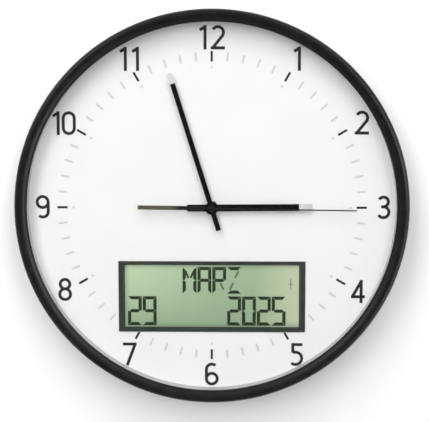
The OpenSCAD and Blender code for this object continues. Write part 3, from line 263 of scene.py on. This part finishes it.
# %% Black card
CARD_SIDE = 3.2
CARD_PLACE = (0.0, -1.7, -0.3)
CARD_TURN = (math.radians(-90.0), 0.0, 0.0)
CARD_TONE = 0.004

bpy.ops.mesh.primitive_plane_add(size=CARD_SIDE, location=CARD_PLACE, rotation=CARD_TURN)
card = bpy.context.active_object
card.name = "black_card"
black_cloth = bpy.data.materials.new("black_cloth")
black_cloth.use_nodes = True
cloth_tree = black_cloth.node_tree
cloth = cloth_tree.nodes["Principled BSDF"]
cloth.inputs["Base Color"].default_value = colour(CARD_TONE)
bounces = put(cloth_tree, "ShaderNodeLightPath").outputs["Diffuse Depth"]
bounced = maths(cloth_tree, "MINIMUM", bounces, 1.0)
clear = put(cloth_tree, "ShaderNodeBsdfTransparent")
both = put(cloth_tree, "ShaderNodeMixShader", {0: bounced, 1: cloth.outputs[0], 2: clear.outputs[0]})
cloth_tree.links.new(both.outputs[0], cloth_tree.nodes["Material Output"].inputs["Surface"])
card.data.materials.append(black_cloth)
for ray in ("camera", "diffuse", "shadow", "volume_scatter"):
    setattr(card, "visible_" + ray, False)
bpy.ops.object.select_all(action="DESELECT")
print("black card:", CARD_SIDE, "m wide, at y =", CARD_PLACE[1])

# %% [markdown]
# ## Shared surface effects
# Moulded plastic is never quite even: the mould is spark-eroded, so its skin is a field of tiny
# pits. Dust settles on what looks upwards. Wire lies in close turns, and sheet metal keeps the
# lines of its rolling. Each of these effects is one node group with named sockets, and the finishes
# further down place it with their own values.

# %% An empty node group
def new_group(name, inputs, outputs):
    """An empty shader group. Inputs list name, kind and start value, outputs name and kind."""
    group = bpy.data.node_groups.new(name, "ShaderNodeTree")
    for label, kind, value in inputs:
        socket = group.interface.new_socket(label, in_out="INPUT", socket_type="NodeSocket" + kind)
        if value is not None:
            socket.default_value = value
    for label, kind in outputs:
        group.interface.new_socket(label, in_out="OUTPUT", socket_type="NodeSocket" + kind)
    start = group.nodes.new("NodeGroupInput").outputs
    end = group.nodes.new("NodeGroupOutput").inputs
    return group, start, end


print("group helper ready")

# %% Grain of moulded plastic
CELL_SHARE = 0.4
CLOUD_IN_GRAINS = 16.0
CLOUD_RANGE = (0.35, 0.65)

grain_group, start, end = new_group(
    "moulded_grain", [("Vector", "Vector", None), ("Size", "Float", 0.0004)],
    [("Height", "Float"), ("Mottle", "Float")])
fine = maths(grain_group, "DIVIDE", 1.0, start["Size"])
pits = noise(grain_group, start["Vector"], fine, 3.0)
cell_inputs = {"Vector": start["Vector"], "Scale": fine}
cells = put(grain_group, "ShaderNodeTexVoronoi", cell_inputs, feature="SMOOTH_F1")
coarse = maths(grain_group, "DIVIDE", fine, CLOUD_IN_GRAINS)
cloud = noise(grain_group, start["Vector"], coarse, 5.0)
skin = mixed(grain_group, CELL_SHARE, pits, cells.outputs["Distance"])
grain_group.links.new(skin, end["Height"])
grain_group.links.new(spread(grain_group, cloud, 0.0, 1.0, *CLOUD_RANGE), end["Mottle"])
print("group:", grain_group.name)

# %% Dust, wire and rolled sheet
UPRIGHT_SHARE = 0.15
LEVEL_FROM = 0.9
MOTE_SCALE = 260.0
MOTE_RANGE = (0.42, 0.75)
LAY_SCALE = 900.0
LINE_RANGE = (0.3, 0.7)

dust_group, start, end = new_group(
    "settled_dust", [("Vector", "Vector", None), ("Amount", "Float", 0.3)], [("Mask", "Float")])
normal = put(dust_group, "ShaderNodeNewGeometry").outputs["Normal"]
facing = put(dust_group, "ShaderNodeSeparateXYZ", {0: normal})
upward = spread(dust_group, facing.outputs["Z"], UPRIGHT_SHARE, 1.0, 0.0, LEVEL_FROM)
motes = noise(dust_group, start["Vector"], MOTE_SCALE, 8.0)
patches = spread(dust_group, motes, 0.0, 1.0, *MOTE_RANGE)
settled = maths(dust_group, "MULTIPLY", patches, upward)
dust_group.links.new(maths(dust_group, "MULTIPLY", settled, start["Amount"]), end["Mask"])

wire_group, start, end = new_group(
    "wound_wire", [("Vector", "Vector", None), ("Wire", "Float", 0.0002)],
    [("Height", "Float"), ("Shade", "Float")])
along = put(wire_group, "ShaderNodeSeparateXYZ", {0: start["Vector"]}).outputs["X"]
turn = maths(wire_group, "MULTIPLY", maths(wire_group, "DIVIDE", along, start["Wire"]), math.pi)
crown = maths(wire_group, "ABSOLUTE", maths(wire_group, "SINE", turn))
lay = noise(wire_group, start["Vector"], LAY_SCALE, 2.0)
wire_group.links.new(crown, end["Height"])
# The Shade output is painted light: light on each turn's crest, dark in the groove between turns.
wire_group.links.new(maths(wire_group, "MULTIPLY", crown, lay), end["Shade"])

rolled_group, start, end = new_group(
    "rolled_lines", [("Vector", "Vector", None), ("Stretch", "Vector", (60.0, 2500.0, 2500.0))],
    [("Height", "Float"), ("Shade", "Float")])
stretch = {0: start["Vector"], 1: start["Stretch"]}
pulled = put(rolled_group, "ShaderNodeVectorMath", stretch, operation="MULTIPLY")
lines = noise(rolled_group, pulled.outputs[0], 1.0, 4.0)
rolled_group.links.new(lines, end["Height"])
rolled_group.links.new(spread(rolled_group, lines, 0.0, 1.0, *LINE_RANGE), end["Shade"])
print("groups:", [g.name for g in bpy.data.node_groups])

# %% [markdown]
# ## Moulded plastics and rubbers
# Most of the clock is injection-moulded: the satin ring, the matt housing, the pale wheels, the
# buttons. They differ in colour, in gloss and in how coarse the mould's skin is, so one function
# makes them all from those values.

# %% Moulded finishes
DUST_TONE = 0.2
finishes = {}


def new_finish(name):
    """A material with its node tree, its Principled shader and its Object coordinates."""
    material = bpy.data.materials.new(name)
    material.use_nodes = True
    tree = material.node_tree
    return material, tree, tree.nodes["Principled BSDF"], object_place(tree)


def moulded(name, dark, light, roughness, grain_size, depth, dust=0.0):
    """A plastic, rubber or ink between two tones, with a grain of a size and a depth, perhaps with dust."""
    material, tree, shader, place = new_finish(name)
    grain = put(tree, "ShaderNodeGroup", node_tree=grain_group)
    tree.links.new(place, grain.inputs["Vector"])
    grain.inputs["Size"].default_value = grain_size
    tint = mixed(tree, grain.outputs["Mottle"], colour(*dark), colour(*light))
    gloss = spread(tree, grain.outputs["Mottle"], *roughness)
    if dust:
        veil = put(tree, "ShaderNodeGroup", node_tree=dust_group)
        tree.links.new(place, veil.inputs["Vector"])
        veil.inputs["Amount"].default_value = dust
        tint = mixed(tree, veil.outputs["Mask"], tint, colour(DUST_TONE))
        gloss = maths(tree, "ADD", gloss, veil.outputs["Mask"])
    tree.links.new(tint, shader.inputs["Base Color"])
    tree.links.new(gloss, shader.inputs["Roughness"])
    tree.links.new(bumped(tree, grain.outputs["Height"], depth), shader.inputs["Normal"])
    finishes[name] = material


moulded("case_black", (0.006,), (0.009,), (0.34, 0.42), 0.0005, 0.000006, 0.03)
moulded("housing_black", (0.017,), (0.021,), (0.52, 0.6), 0.0006, 0.00003, 0.04)
moulded("dial_white", (0.925, 0.925, 0.92), (0.94, 0.94, 0.935), (0.5, 0.6), 0.002, 0.000001)
# Painted shade: the white spacer ring is painted grey, at about half the dial's lightness, for the shade in
# the well under the ring.
moulded("inner_white", (0.48, 0.48, 0.475), (0.52, 0.52, 0.515), (0.42, 0.55), 0.0005, 0.000005)
moulded("ink_black", (0.014,), (0.022,), (0.42, 0.6), 0.0002, 0.000004)
moulded("ink_grey", (0.66,), (0.72,), (0.45, 0.6), 0.0002, 0.000004)
moulded("frame_dark", (0.029, 0.034, 0.029), (0.039, 0.045, 0.039), (0.38, 0.5), 0.0005, 0.00001)
moulded("rubber_pale", (0.55, 0.5, 0.42), (0.64, 0.58, 0.5), (0.7, 0.85), 0.0006, 0.00002)
moulded("rubber_black", (0.02,), (0.032,), (0.7, 0.85), 0.0006, 0.00002)
moulded("chip_black", (0.008,), (0.014,), (0.4, 0.6), 0.0005, 0.00002)
moulded("switch_grey", (0.09, 0.09, 0.1), (0.13, 0.13, 0.14), (0.4, 0.55), 0.0004, 0.00001)
moulded("button_pale", (0.5, 0.5, 0.48), (0.6, 0.6, 0.58), (0.45, 0.6), 0.0005, 0.00002, 0.1)
moulded("gear_pale", (0.68, 0.65, 0.57), (0.77, 0.74, 0.66), (0.35, 0.5), 0.0006, 0.00001)
moulded("ferrite", (0.045, 0.042, 0.04), (0.075, 0.07, 0.066), (0.5, 0.7), 0.0004, 0.00002)
moulded("hand_black", (0.002,), (0.004,), (0.2, 0.28), 0.0004, 0.000002)
moulded("hand_pale", (0.64,), (0.72,), (0.4, 0.55), 0.0004, 0.000004)
print("moulded and printed finishes:", len(finishes))

# %% [markdown]
# ## The clear lens
# The lens is a flat disc of clear acrylic. Real glass lets lamp light straight through to the dial,
# but a renderer's glass blocks shadow rays, so for those rays alone the material turns transparent.
# A faint smear from wiping changes the roughness a little.

# %% Lens finish
ACRYLIC_INDEX = 1.49
SMEAR_SCALE = 30.0
SMEAR_DISTORTION = 1.5
SMEAR_RANGE = (0.45, 0.8)
SMEAR_ROUGHNESS = 0.012


def lens_finish():
    material, tree, shader, place = new_finish("lens_clear")
    wiping = {"Vector": place, "Scale": SMEAR_SCALE, "Detail": 6.0, "Distortion": SMEAR_DISTORTION}
    smear = put(tree, "ShaderNodeTexNoise", wiping).outputs["Fac"]
    tree.links.new(spread(tree, smear, 0.0, SMEAR_ROUGHNESS, *SMEAR_RANGE), shader.inputs["Roughness"])
    shader.inputs["Base Color"].default_value = colour(0.985, 0.99, 0.988)
    shader.inputs["Transmission Weight"].default_value = 1.0
    shader.inputs["IOR"].default_value = ACRYLIC_INDEX
    lit = put(tree, "ShaderNodeLightPath").outputs["Is Shadow Ray"]
    clear = put(tree, "ShaderNodeBsdfTransparent")
    both = put(tree, "ShaderNodeMixShader", {0: lit, 1: shader.outputs[0], 2: clear.outputs[0]})
    tree.links.new(both.outputs[0], tree.nodes["Material Output"].inputs["Surface"])
    return material


finishes["lens_clear"] = lens_finish()
print("lens: clear acrylic")

# %% [markdown]
# ## The display's glass
# A reflective liquid-crystal cell is grey-green. Its glass is painted lighter from bottom to top and
# lighter still towards its upper left corner, which is painted light, and it is lighter and yellower
# at its right end. A painted shadow of the frame darkens it along the frame's left and bottom sides,
# and a fine sparkle stands for the reflector's crumpled foil.

# %% Display finish
display_low, display_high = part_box("lcd_cell")
display_size = display_high - display_low
FOIL_SCALE = 2200.0
# Width, covered strip and strength of the painted shadow of the frame.
FRAME_SHADOW_WIDTH = 0.0055
RIM_COVER = 0.0016
FRAME_SHADOW_SHARE = 0.4


def across_display(tree, place):
    """Runs from 0 to 1 over the display: from left to right, and from bottom to top."""
    parts = put(tree, "ShaderNodeSeparateXYZ", {0: place})
    right = spread(tree, parts.outputs["X"], 0.0, 1.0, display_low.x, display_high.x)
    up = spread(tree, parts.outputs["Z"], 0.0, 1.0, display_low.z, display_high.z)
    return right, up


def frame_shadow_mask(tree, place):
    """Painted shadow of the frame: 1 along its left and bottom sides, falling to 0 over the shadow's width.
    """
    parts = put(tree, "ShaderNodeSeparateXYZ", {0: place})
    from_left = maths(tree, "SUBTRACT", parts.outputs["X"], display_low.x)
    from_foot = maths(tree, "SUBTRACT", parts.outputs["Z"], display_low.z + RIM_COVER)
    return spread(tree, maths(tree, "MINIMUM", from_left, from_foot), 1.0, 0.0, RIM_COVER, FRAME_SHADOW_WIDTH)


def display_finish():
    material, tree, shader, place = new_finish("display_green")
    right, up = across_display(tree, place)
    shaded_foot_tone = colour(0.285, 0.405, 0.256)
    lit_top_tone = colour(0.39, 0.525, 0.337)
    lit_corner_tone = colour(0.57, 0.74, 0.49)
    end_tone = colour(0.62, 0.685, 0.46)
    foil_tone = colour(0.75, 0.85, 0.7)
    frame_shadow_tone = colour(0.14, 0.2, 0.13)
    # Painted light: darker at the foot, lighter at the top, and lighter again in the upper left corner.
    base = mixed(tree, up, shaded_foot_tone, lit_top_tone)
    lit_corner = maths(tree, "MULTIPLY", spread(tree, right, 1.0, 0.0, 0.0, 0.6), up)
    base = mixed(tree, lit_corner, base, lit_corner_tone)
    base = mixed(tree, spread(tree, right, 0.0, 0.8, 0.74, 0.98), base, end_tone)
    foil = noise(tree, place, FOIL_SCALE, 2.0)
    base = mixed(tree, spread(tree, foil, 0.0, 0.12, 0.4, 0.7), base, foil_tone)
    # Painted shadow of the frame along its left and bottom sides.
    frame_shadow = maths(tree, "MULTIPLY", frame_shadow_mask(tree, place), FRAME_SHADOW_SHARE)
    base = mixed(tree, frame_shadow, base, frame_shadow_tone)
    tree.links.new(base, shader.inputs["Base Color"])
    tree.links.new(spread(tree, foil, 0.22, 0.34), shader.inputs["Roughness"])
    tree.links.new(bumped(tree, foil, 0.000002), shader.inputs["Normal"])
    return material


finishes["display_green"] = display_finish()
print("display glass:", round(display_size.x * 1000, 1), "x", round(display_size.z * 1000, 1), "mm")

# %% [markdown]
# ## The display's characters
# The lit characters are the same film turned dark. Where it only half turns, a segment stays pale:
# the slanting segments at the right end of the month do, and so does the reception mark at the
# right end of the display. Upright boxes over the display say where that is.

# %% Character finish
FILM_SCALE = 1500.0
LETTER_HEIGHT = 0.021
LETTER_BAR = 0.0026
FAINT_FROM = 0.0058
FAINT_TO = 0.0228
FAINT_SHARE = 0.6
MAST_FROM = 0.06
MAST_SHARE = 0.75
BOX_SOFT = 0.0002


def between(tree, value, low, high):
    """1 where a value lies between two limits, 0 outside them, with soft ends."""
    above = spread(tree, value, 0.0, 1.0, low - BOX_SOFT, low + BOX_SOFT)
    below = spread(tree, value, 1.0, 0.0, high - BOX_SOFT, high + BOX_SOFT)
    return maths(tree, "MULTIPLY", above, below)


def in_box(tree, place, left, right, foot, top):
    """1 inside an upright box of the display's plane, 0 outside it."""
    parts = put(tree, "ShaderNodeSeparateXYZ", {0: place})
    inside_x = between(tree, parts.outputs["X"], left, right)
    inside_z = between(tree, parts.outputs["Z"], foot, top)
    return maths(tree, "MULTIPLY", inside_x, inside_z)


def faint_segments(tree, place):
    """1 on the slanting segments: the leg of the last letter but one, and the stroke of the last letter."""
    letters_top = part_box("lcd_characters")[1].z
    foot = letters_top - LETTER_HEIGHT + LETTER_BAR
    middle = letters_top - LETTER_HEIGHT / 2 - LETTER_BAR / 2
    leg = in_box(tree, place, FAINT_FROM, FAINT_TO, foot, middle)
    stroke = in_box(tree, place, FAINT_FROM + 2 * LETTER_BAR, FAINT_TO, foot, letters_top - LETTER_BAR)
    return maths(tree, "MAXIMUM", leg, stroke)


def segment_finish():
    material, tree, shader, place = new_finish("segment_dark")
    up = across_display(tree, place)[1]
    film = noise(tree, place, FILM_SCALE, 2.0)
    # Painted light: the dark characters are painted a little lighter towards the top, like the glass.
    base = mixed(tree, up, colour(0.016, 0.027, 0.012), colour(0.023, 0.037, 0.017))
    base = mixed(tree, spread(tree, film, 0.0, 0.2), base, colour(0.05, 0.07, 0.04))
    faint = maths(tree, "MULTIPLY", faint_segments(tree, place), FAINT_SHARE)
    base = mixed(tree, faint, base, colour(0.19, 0.26, 0.16))
    across = put(tree, "ShaderNodeSeparateXYZ", {0: place}).outputs["X"]
    mast = spread(tree, across, 0.0, MAST_SHARE, MAST_FROM, MAST_FROM + BOX_SOFT)
    base = mixed(tree, mast, base, colour(0.34, 0.38, 0.24))
    tree.links.new(base, shader.inputs["Base Color"])
    tree.links.new(spread(tree, film, 0.25, 0.4), shader.inputs["Roughness"])
    return material


finishes["segment_dark"] = segment_finish()
print("letters of the month:", round(LETTER_HEIGHT * 1000, 1), "mm high")

# %% [markdown]
# ## Metals
# Screws, contacts and stators are plated steel with the lines of its rolling. The fixing nut is
# blackened. The second hand is thin sheet with a dark lacquer, which turns to olive bronze on the
# wide weight at its tail.

# %% Metal finishes
ROLLED_DEPTH = 0.000004


def metal(name, dark, light, roughness, metallic=1.0):
    material, tree, shader, place = new_finish(name)
    rolled = put(tree, "ShaderNodeGroup", node_tree=rolled_group)
    tree.links.new(place, rolled.inputs["Vector"])
    tree.links.new(mixed(tree, rolled.outputs["Shade"], dark, light), shader.inputs["Base Color"])
    tree.links.new(spread(tree, rolled.outputs["Shade"], *roughness), shader.inputs["Roughness"])
    tree.links.new(bumped(tree, rolled.outputs["Height"], ROLLED_DEPTH), shader.inputs["Normal"])
    shader.inputs["Metallic"].default_value = metallic
    return material


finishes["steel"] = metal("steel", colour(0.5, 0.5, 0.52), colour(0.64, 0.64, 0.66), (0.22, 0.4))
finishes["nut_black"] = metal("nut_black", colour(0.01), colour(0.025), (0.35, 0.5), 0.4)
print("metals: steel, nut_black")

# %% Finish of the second hand
TAIL_FULL = -0.0308
TAIL_START = -0.0248


def second_hand_finish():
    material, tree, shader, place = new_finish("second_bronze")
    rolled = put(tree, "ShaderNodeGroup", node_tree=rolled_group)
    tree.links.new(place, rolled.inputs["Vector"])
    shade = rolled.outputs["Shade"]
    lacquer = mixed(tree, shade, colour(0.006, 0.006, 0.005), colour(0.011, 0.011, 0.009))
    bronze = mixed(tree, shade, colour(0.075, 0.07, 0.042), colour(0.115, 0.108, 0.07))
    along = put(tree, "ShaderNodeSeparateXYZ", {0: place}).outputs["X"]
    tail = spread(tree, along, 1.0, 0.0, TAIL_FULL, TAIL_START)
    tree.links.new(mixed(tree, tail, lacquer, bronze), shader.inputs["Base Color"])
    tree.links.new(spread(tree, shade, 0.35, 0.5), shader.inputs["Roughness"])
    tree.links.new(bumped(tree, rolled.outputs["Height"], 0.000003), shader.inputs["Normal"])
    return material


finishes["second_bronze"] = second_hand_finish()
print("bronze tail: from", round(-TAIL_START * 1000, 1), "mm behind the hand's axis")

# %% [markdown]
# ## Copper coils, circuit boards and dry cells
# The coils are wound from enamelled copper wire, in turns that lie along x. The boards carry a
# green solder mask with the tracks showing through as a paler maze. A dry cell is a steel can in a
# printed foil sleeve with plain end bands.

# %% Coil and board finishes
WIRE = 0.00025
WIRE_DEPTH = 0.00008
TRACK_SCALE = 120.0
TRACK_DEPTH = 0.00003
WEAVE_SCALE = 1200.0


def coil_finish():
    material, tree, shader, place = new_finish("copper")
    wound = put(tree, "ShaderNodeGroup", node_tree=wire_group)
    tree.links.new(place, wound.inputs["Vector"])
    wound.inputs["Wire"].default_value = WIRE
    # Painted highlight and shade: each turn is painted lighter on its crest and darker between turns.
    tint = mixed(tree, wound.outputs["Shade"], colour(0.3, 0.09, 0.03), colour(0.72, 0.3, 0.12))
    tree.links.new(tint, shader.inputs["Base Color"])
    tree.links.new(spread(tree, wound.outputs["Shade"], 0.4, 0.22), shader.inputs["Roughness"])
    tree.links.new(bumped(tree, wound.outputs["Height"], WIRE_DEPTH), shader.inputs["Normal"])
    shader.inputs["Metallic"].default_value = 0.9
    return material


def board_finish():
    material, tree, shader, place = new_finish("board_green")
    plan = put(tree, "ShaderNodeMapping", {"Vector": place, "Rotation": (math.radians(90.0), 0.0, 0.0)})
    tracks = put(tree, "ShaderNodeTexBrick", {
        "Vector": plan.outputs[0], "Color1": colour(0.0), "Color2": colour(0.0), "Mortar": colour(1.0),
        "Scale": TRACK_SCALE, "Mortar Size": 0.06, "Brick Width": 0.9, "Row Height": 0.25})
    weave = noise(tree, place, WEAVE_SCALE, 4.0)
    mask = mixed(tree, weave, colour(0.022, 0.11, 0.045), colour(0.032, 0.14, 0.06))
    tint = mixed(tree, tracks.outputs["Color"], mask, colour(0.07, 0.25, 0.1))
    tree.links.new(tint, shader.inputs["Base Color"])
    tree.links.new(spread(tree, weave, 0.25, 0.4), shader.inputs["Roughness"])
    tree.links.new(bumped(tree, tracks.outputs["Color"], TRACK_DEPTH), shader.inputs["Normal"])
    return material


finishes["copper"] = coil_finish()
finishes["board_green"] = board_finish()
print("coil wire:", round(WIRE * 1000, 2), "mm")

# %% Cell finishes
BAND_FROM = 0.62
BAND_FULL = 0.63
BARE_FROM = 0.945
BARE_FULL = 0.95
SCUFF_SCALE = 1100.0
SCUFF_RANGE = (0.55, 0.8)
SCUFF_SHARE = 0.12
BAND_METAL = 0.7


def cell_finish(name, node):
    """The sleeve of a node's dry cells: bronze at both ends, charcoal between, bare steel at the nubs."""
    low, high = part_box(node)
    half = (high.x - low.x) / 2
    material, tree, shader, place = new_finish(name)
    along = put(tree, "ShaderNodeSeparateXYZ", {0: place}).outputs["X"]
    out = maths(tree, "ABSOLUTE", maths(tree, "SUBTRACT", along, (low.x + high.x) / 2))
    band = spread(tree, out, 0.0, 1.0, half * BAND_FROM, half * BAND_FULL)
    bare = spread(tree, out, 0.0, 1.0, half * BARE_FROM, half * BARE_FULL)
    scuff = noise(tree, place, SCUFF_SCALE, 6.0)
    sleeve = mixed(tree, band, colour(0.02, 0.021, 0.024), colour(0.48, 0.29, 0.08))
    worn = spread(tree, scuff, 0.0, SCUFF_SHARE, *SCUFF_RANGE)
    sleeve = mixed(tree, worn, sleeve, colour(0.45))
    tree.links.new(mixed(tree, bare, sleeve, colour(0.62, 0.62, 0.64)), shader.inputs["Base Color"])
    tree.links.new(spread(tree, scuff, 0.2, 0.4), shader.inputs["Roughness"])
    foil = maths(tree, "MULTIPLY", band, BAND_METAL)
    tree.links.new(maths(tree, "MAXIMUM", bare, foil), shader.inputs["Metallic"])
    return material


finishes["cell_wrap_small"] = cell_finish("cell_wrap_small", "small_cells")
finishes["cell_wrap"] = cell_finish("cell_wrap", "movement_cell")
print("finishes in all:", len(finishes))

# %% [markdown]
# ## Each piece gets its finish
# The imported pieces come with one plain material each. Here every piece's slot takes the finish of
# what it is made of.

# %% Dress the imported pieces
dressed_in = {
    "case_black": ["front_ring"],
    "housing_black": ["rear_housing", "battery_door", "movement_front_shell", "movement_rear_cover"],
    "lens_clear": ["lens"],
    "dial_white": ["dial"],
    "inner_white": ["spacer_ring"],
    "ink_black": ["hour_numerals", "hour_marks"],
    "ink_grey": ["minute_marks"],
    "frame_dark": ["lcd_frame"],
    "display_green": ["lcd_cell"],
    "segment_dark": ["lcd_characters"],
    "rubber_pale": ["contact_strips"],
    "rubber_black": ["fixing_washer"],
    "board_green": ["display_board", "movement_board"],
    "chip_black": ["display_chip", "movement_chip"],
    "switch_grey": ["push_switches", "movement_switch"],
    "button_pale": ["set_button", "up_button", "down_button", "language_button", "hand_set_button"],
    "steel": ["case_screws", "board_screws", "small_cell_contacts", "movement_cell_contacts",
              "quartz_crystal", "second_stator", "minute_stator"],
    "nut_black": ["fixing_nut"],
    "cell_wrap_small": ["small_cells"],
    "cell_wrap": ["movement_cell"],
    "ferrite": ["antenna_rod", "second_rotor", "minute_rotor"],
    "copper": ["antenna_coil", "second_coil", "minute_coil"],
    "gear_pale": ["second_idler", "minute_idler", "second_wheel", "minute_wheel", "motion_wheel",
                  "hour_wheel", "train_plate"],
    "hand_black": ["hour_hand", "minute_hand"],
    "hand_pale": ["hour_hand_tip", "minute_hand_tip"],
    "second_bronze": ["second_hand"],
}
for finish, names in dressed_in.items():
    for name in names:
        clock[name].material_slots[0].material = finishes[finish]
undressed = set(clock) - {name for names in dressed_in.values() for name in names}
print("pieces without a finish:", sorted(undressed))

# %% [markdown]
# ## Tools for small moulded signs
# The back of the clock carries a few raised signs that are felt rather than read. A mould maker
# cuts them as flat drums and bars with broken edges, and they are made the same way here: a
# primitive is added where the sign belongs, its faces are picked by the way they look, inset or
# extruded, and a bevel breaks the edges that are left.

# %% Sign helpers
MM = 0.001
EDGE_BREAK = 0.06 * MM
SMOOTH_BELOW = math.radians(35.0)
RING_SIDES = 32
PUSHED_BACK = 0.8


def pick_faces(piece, wanted):
    """Selects, in edit mode, the faces whose normal passes a test."""
    bpy.ops.object.mode_set(mode="EDIT")
    bpy.ops.mesh.select_mode(type="FACE")
    bpy.ops.mesh.select_all(action="DESELECT")
    bpy.ops.object.mode_set(mode="OBJECT")
    for face in piece.data.polygons:
        face.select = wanted(face.normal)
    bpy.ops.object.mode_set(mode="EDIT")


def drum(sides, radius, x, z, low, high, turn=0.0):
    """A flat drum on the back: it stands on the depth low and rises towards the wall to the depth high."""
    place = (x, -(low + high) / 2, z)
    bpy.ops.mesh.primitive_cylinder_add(vertices=sides, radius=radius, depth=low - high, location=place)
    piece = bpy.context.active_object
    piece.rotation_euler = (math.radians(90.0), turn, 0.0)
    bpy.ops.object.transform_apply(location=True, rotation=True, scale=True)
    return piece


def bar(width, height, x, z, low, high):
    size = (width, low - high, height)
    bpy.ops.mesh.primitive_cube_add(size=1.0, location=(x, -(low + high) / 2, z), scale=size)
    bpy.ops.object.transform_apply(location=True, rotation=True, scale=True)
    return bpy.context.active_object


def ring(radius, wall, x, z, low, high):
    """A drum whose rear face is inset and pushed back almost to its foot, which leaves a ring standing."""
    piece = drum(RING_SIDES, radius, x, z, low, high)
    pick_faces(piece, lambda normal: normal.y > 0.9)
    bpy.ops.mesh.inset(thickness=wall)
    push = (0.0, -PUSHED_BACK * (low - high), 0.0)
    bpy.ops.mesh.extrude_region_move(TRANSFORM_OT_translate={"value": push})
    bpy.ops.object.mode_set(mode="OBJECT")
    return piece


def cross(arm, width, x, z, low, high):
    """A square block whose four sides are drawn out into arms."""
    piece = bar(width, width, x, z, low, high)
    pick_faces(piece, lambda normal: abs(normal.y) < 0.1)
    bpy.ops.mesh.extrude_faces_move(TRANSFORM_OT_shrink_fatten={"value": arm - width / 2})
    bpy.ops.object.mode_set(mode="OBJECT")
    return piece


def finished_sign(pieces, name, finish, body):
    """Joins the parts of a sign, breaks their edges, and hands the sign to the body that carries it."""
    bpy.ops.object.select_all(action="DESELECT")
    for piece in pieces:
        piece.select_set(True)
    sign = pieces[0]
    bpy.context.view_layer.objects.active = sign
    bpy.ops.object.join()
    sign.name = name
    edges = sign.modifiers.new("edge_break", "BEVEL")
    edges.width = EDGE_BREAK
    edges.segments = 2
    edges.limit_method = "ANGLE"
    bpy.ops.object.modifier_apply(modifier="edge_break")
    bpy.ops.object.shade_smooth_by_angle(angle=SMOOTH_BELOW)
    sign.data.materials.clear()
    sign.data.materials.append(finishes[finish])
    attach(sign, body)
    bpy.ops.object.select_all(action="DESELECT")
    size = [round(side / MM, 2) for side in sign.dimensions]
    print(name, size, "mm,", len(sign.data.polygons), "faces, on", body)


print("edges are broken by", round(EDGE_BREAK / MM, 2), "mm")

# %% [markdown]
# ## Signs on the setting buttons
# Four small push buttons sit behind the display, and whoever sets the date reaches round the clock
# and finds them by touch. Each has a sign in its dish: a ring with a dot for setting, a triangle
# up, a triangle down, and a ring with a cross in it, like a globe, for the language. They stand in
# the dish and end below the button's rim.

# %% Button signs
DISH_DEPTH = 0.35 * MM
SIGN_SUNK = 0.06 * MM
SIGN_R = 1.7 * MM
RING_WALL = 0.4 * MM
DOT_R = 0.5 * MM
DOT_SIDES = 24
GLOBE_ARM = 1.4 * MM
GLOBE_BAR = 0.35 * MM


def button_place(button):
    """Middle of a button, and the depths between which its sign stands."""
    low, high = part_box(button)
    return (low.x + high.x) / 2, (low.z + high.z) / 2, -high.y + DISH_DEPTH, -high.y + SIGN_SUNK


place = button_place("set_button")
finished_sign(
    [ring(SIGN_R, RING_WALL, *place), drum(DOT_SIDES, DOT_R, *place)],
    "set_sign", "ink_black", "set_button")
finished_sign(
    [drum(3, SIGN_R, *button_place("up_button"))],
    "up_sign", "ink_black", "up_button")
finished_sign(
    [drum(3, SIGN_R, *button_place("down_button"), turn=math.pi)],
    "down_sign", "ink_black", "down_button")
place = button_place("language_button")
finished_sign(
    [ring(SIGN_R, RING_WALL, *place), cross(GLOBE_ARM, GLOBE_BAR, *place)],
    "language_sign", "ink_black", "language_button")

# %% [markdown]
# ## Signs for the dry cells
# A dry cell that is put in the wrong way round can leak, so its ends are marked: a plus and a minus
# are moulded on the cover of the movement, over the two ends of its cell, and the door of the other
# cells has a small cell drawn on it. They are in the plastic of the piece that they stand on, so
# they take its finish.

# %% Cell signs
SIGN_RISE = 0.25 * MM
SIGN_ROOT = 0.1 * MM
POLE_ARM = 2.0 * MM
POLE_BAR = 0.9 * MM
POLE_INSET = 4.0 * MM
POLE_ASIDE = 5.0 * MM
CAN = (9.0 * MM, 4.0 * MM)
NUB = (0.8 * MM, 1.8 * MM)
NUB_ASIDE = 4.8 * MM
CAN_INSET = 14.0 * MM

cover_depth = -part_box("movement_rear_cover")[1].y
cover_depths = (cover_depth + SIGN_ROOT, cover_depth - SIGN_RISE)
cell_low, cell_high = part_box("movement_cell")
pole_z = cell_high.z + POLE_ASIDE
finished_sign(
    [cross(POLE_ARM, POLE_BAR, cell_high.x - POLE_INSET, pole_z, *cover_depths)],
    "plus_sign", "housing_black", "case")
finished_sign(
    [bar(2 * POLE_ARM, POLE_BAR, cell_low.x + POLE_INSET, pole_z, *cover_depths)],
    "minus_sign", "housing_black", "case")

door_low, door_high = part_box("battery_door")
door_depths = (-door_high.y + SIGN_ROOT, -door_high.y - SIGN_RISE)
door_middle = (door_low.z + door_high.z) / 2
can_x = door_low.x + CAN_INSET
finished_sign(
    [bar(*CAN, can_x, door_middle, *door_depths),
     bar(*NUB, can_x + NUB_ASIDE, door_middle, *door_depths)],
    "cell_sign", "housing_black", "battery_door")

# %% [markdown]
# ## A sign for setting the hands
# The hands are set by one more button on the movement. Beside it stands a little clock face: a ring
# with two hands.

# %% Hand sign
FACE_ASIDE = 5.5 * MM
FACE_R = 2.6 * MM
FACE_LINE = 0.5 * MM
LONG_HAND = 1.6 * MM
SHORT_HAND = 1.2 * MM

button_low, button_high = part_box("hand_set_button")
face_x = button_high.x + FACE_ASIDE
face_z = (button_low.z + button_high.z) / 2
finished_sign(
    [ring(FACE_R, FACE_LINE, face_x, face_z, *cover_depths),
     bar(FACE_LINE, LONG_HAND, face_x, face_z + LONG_HAND / 2, *cover_depths),
     bar(SHORT_HAND, FACE_LINE, face_x + SHORT_HAND / 2, face_z, *cover_depths)],
    "hand_sign", "housing_black", "case")
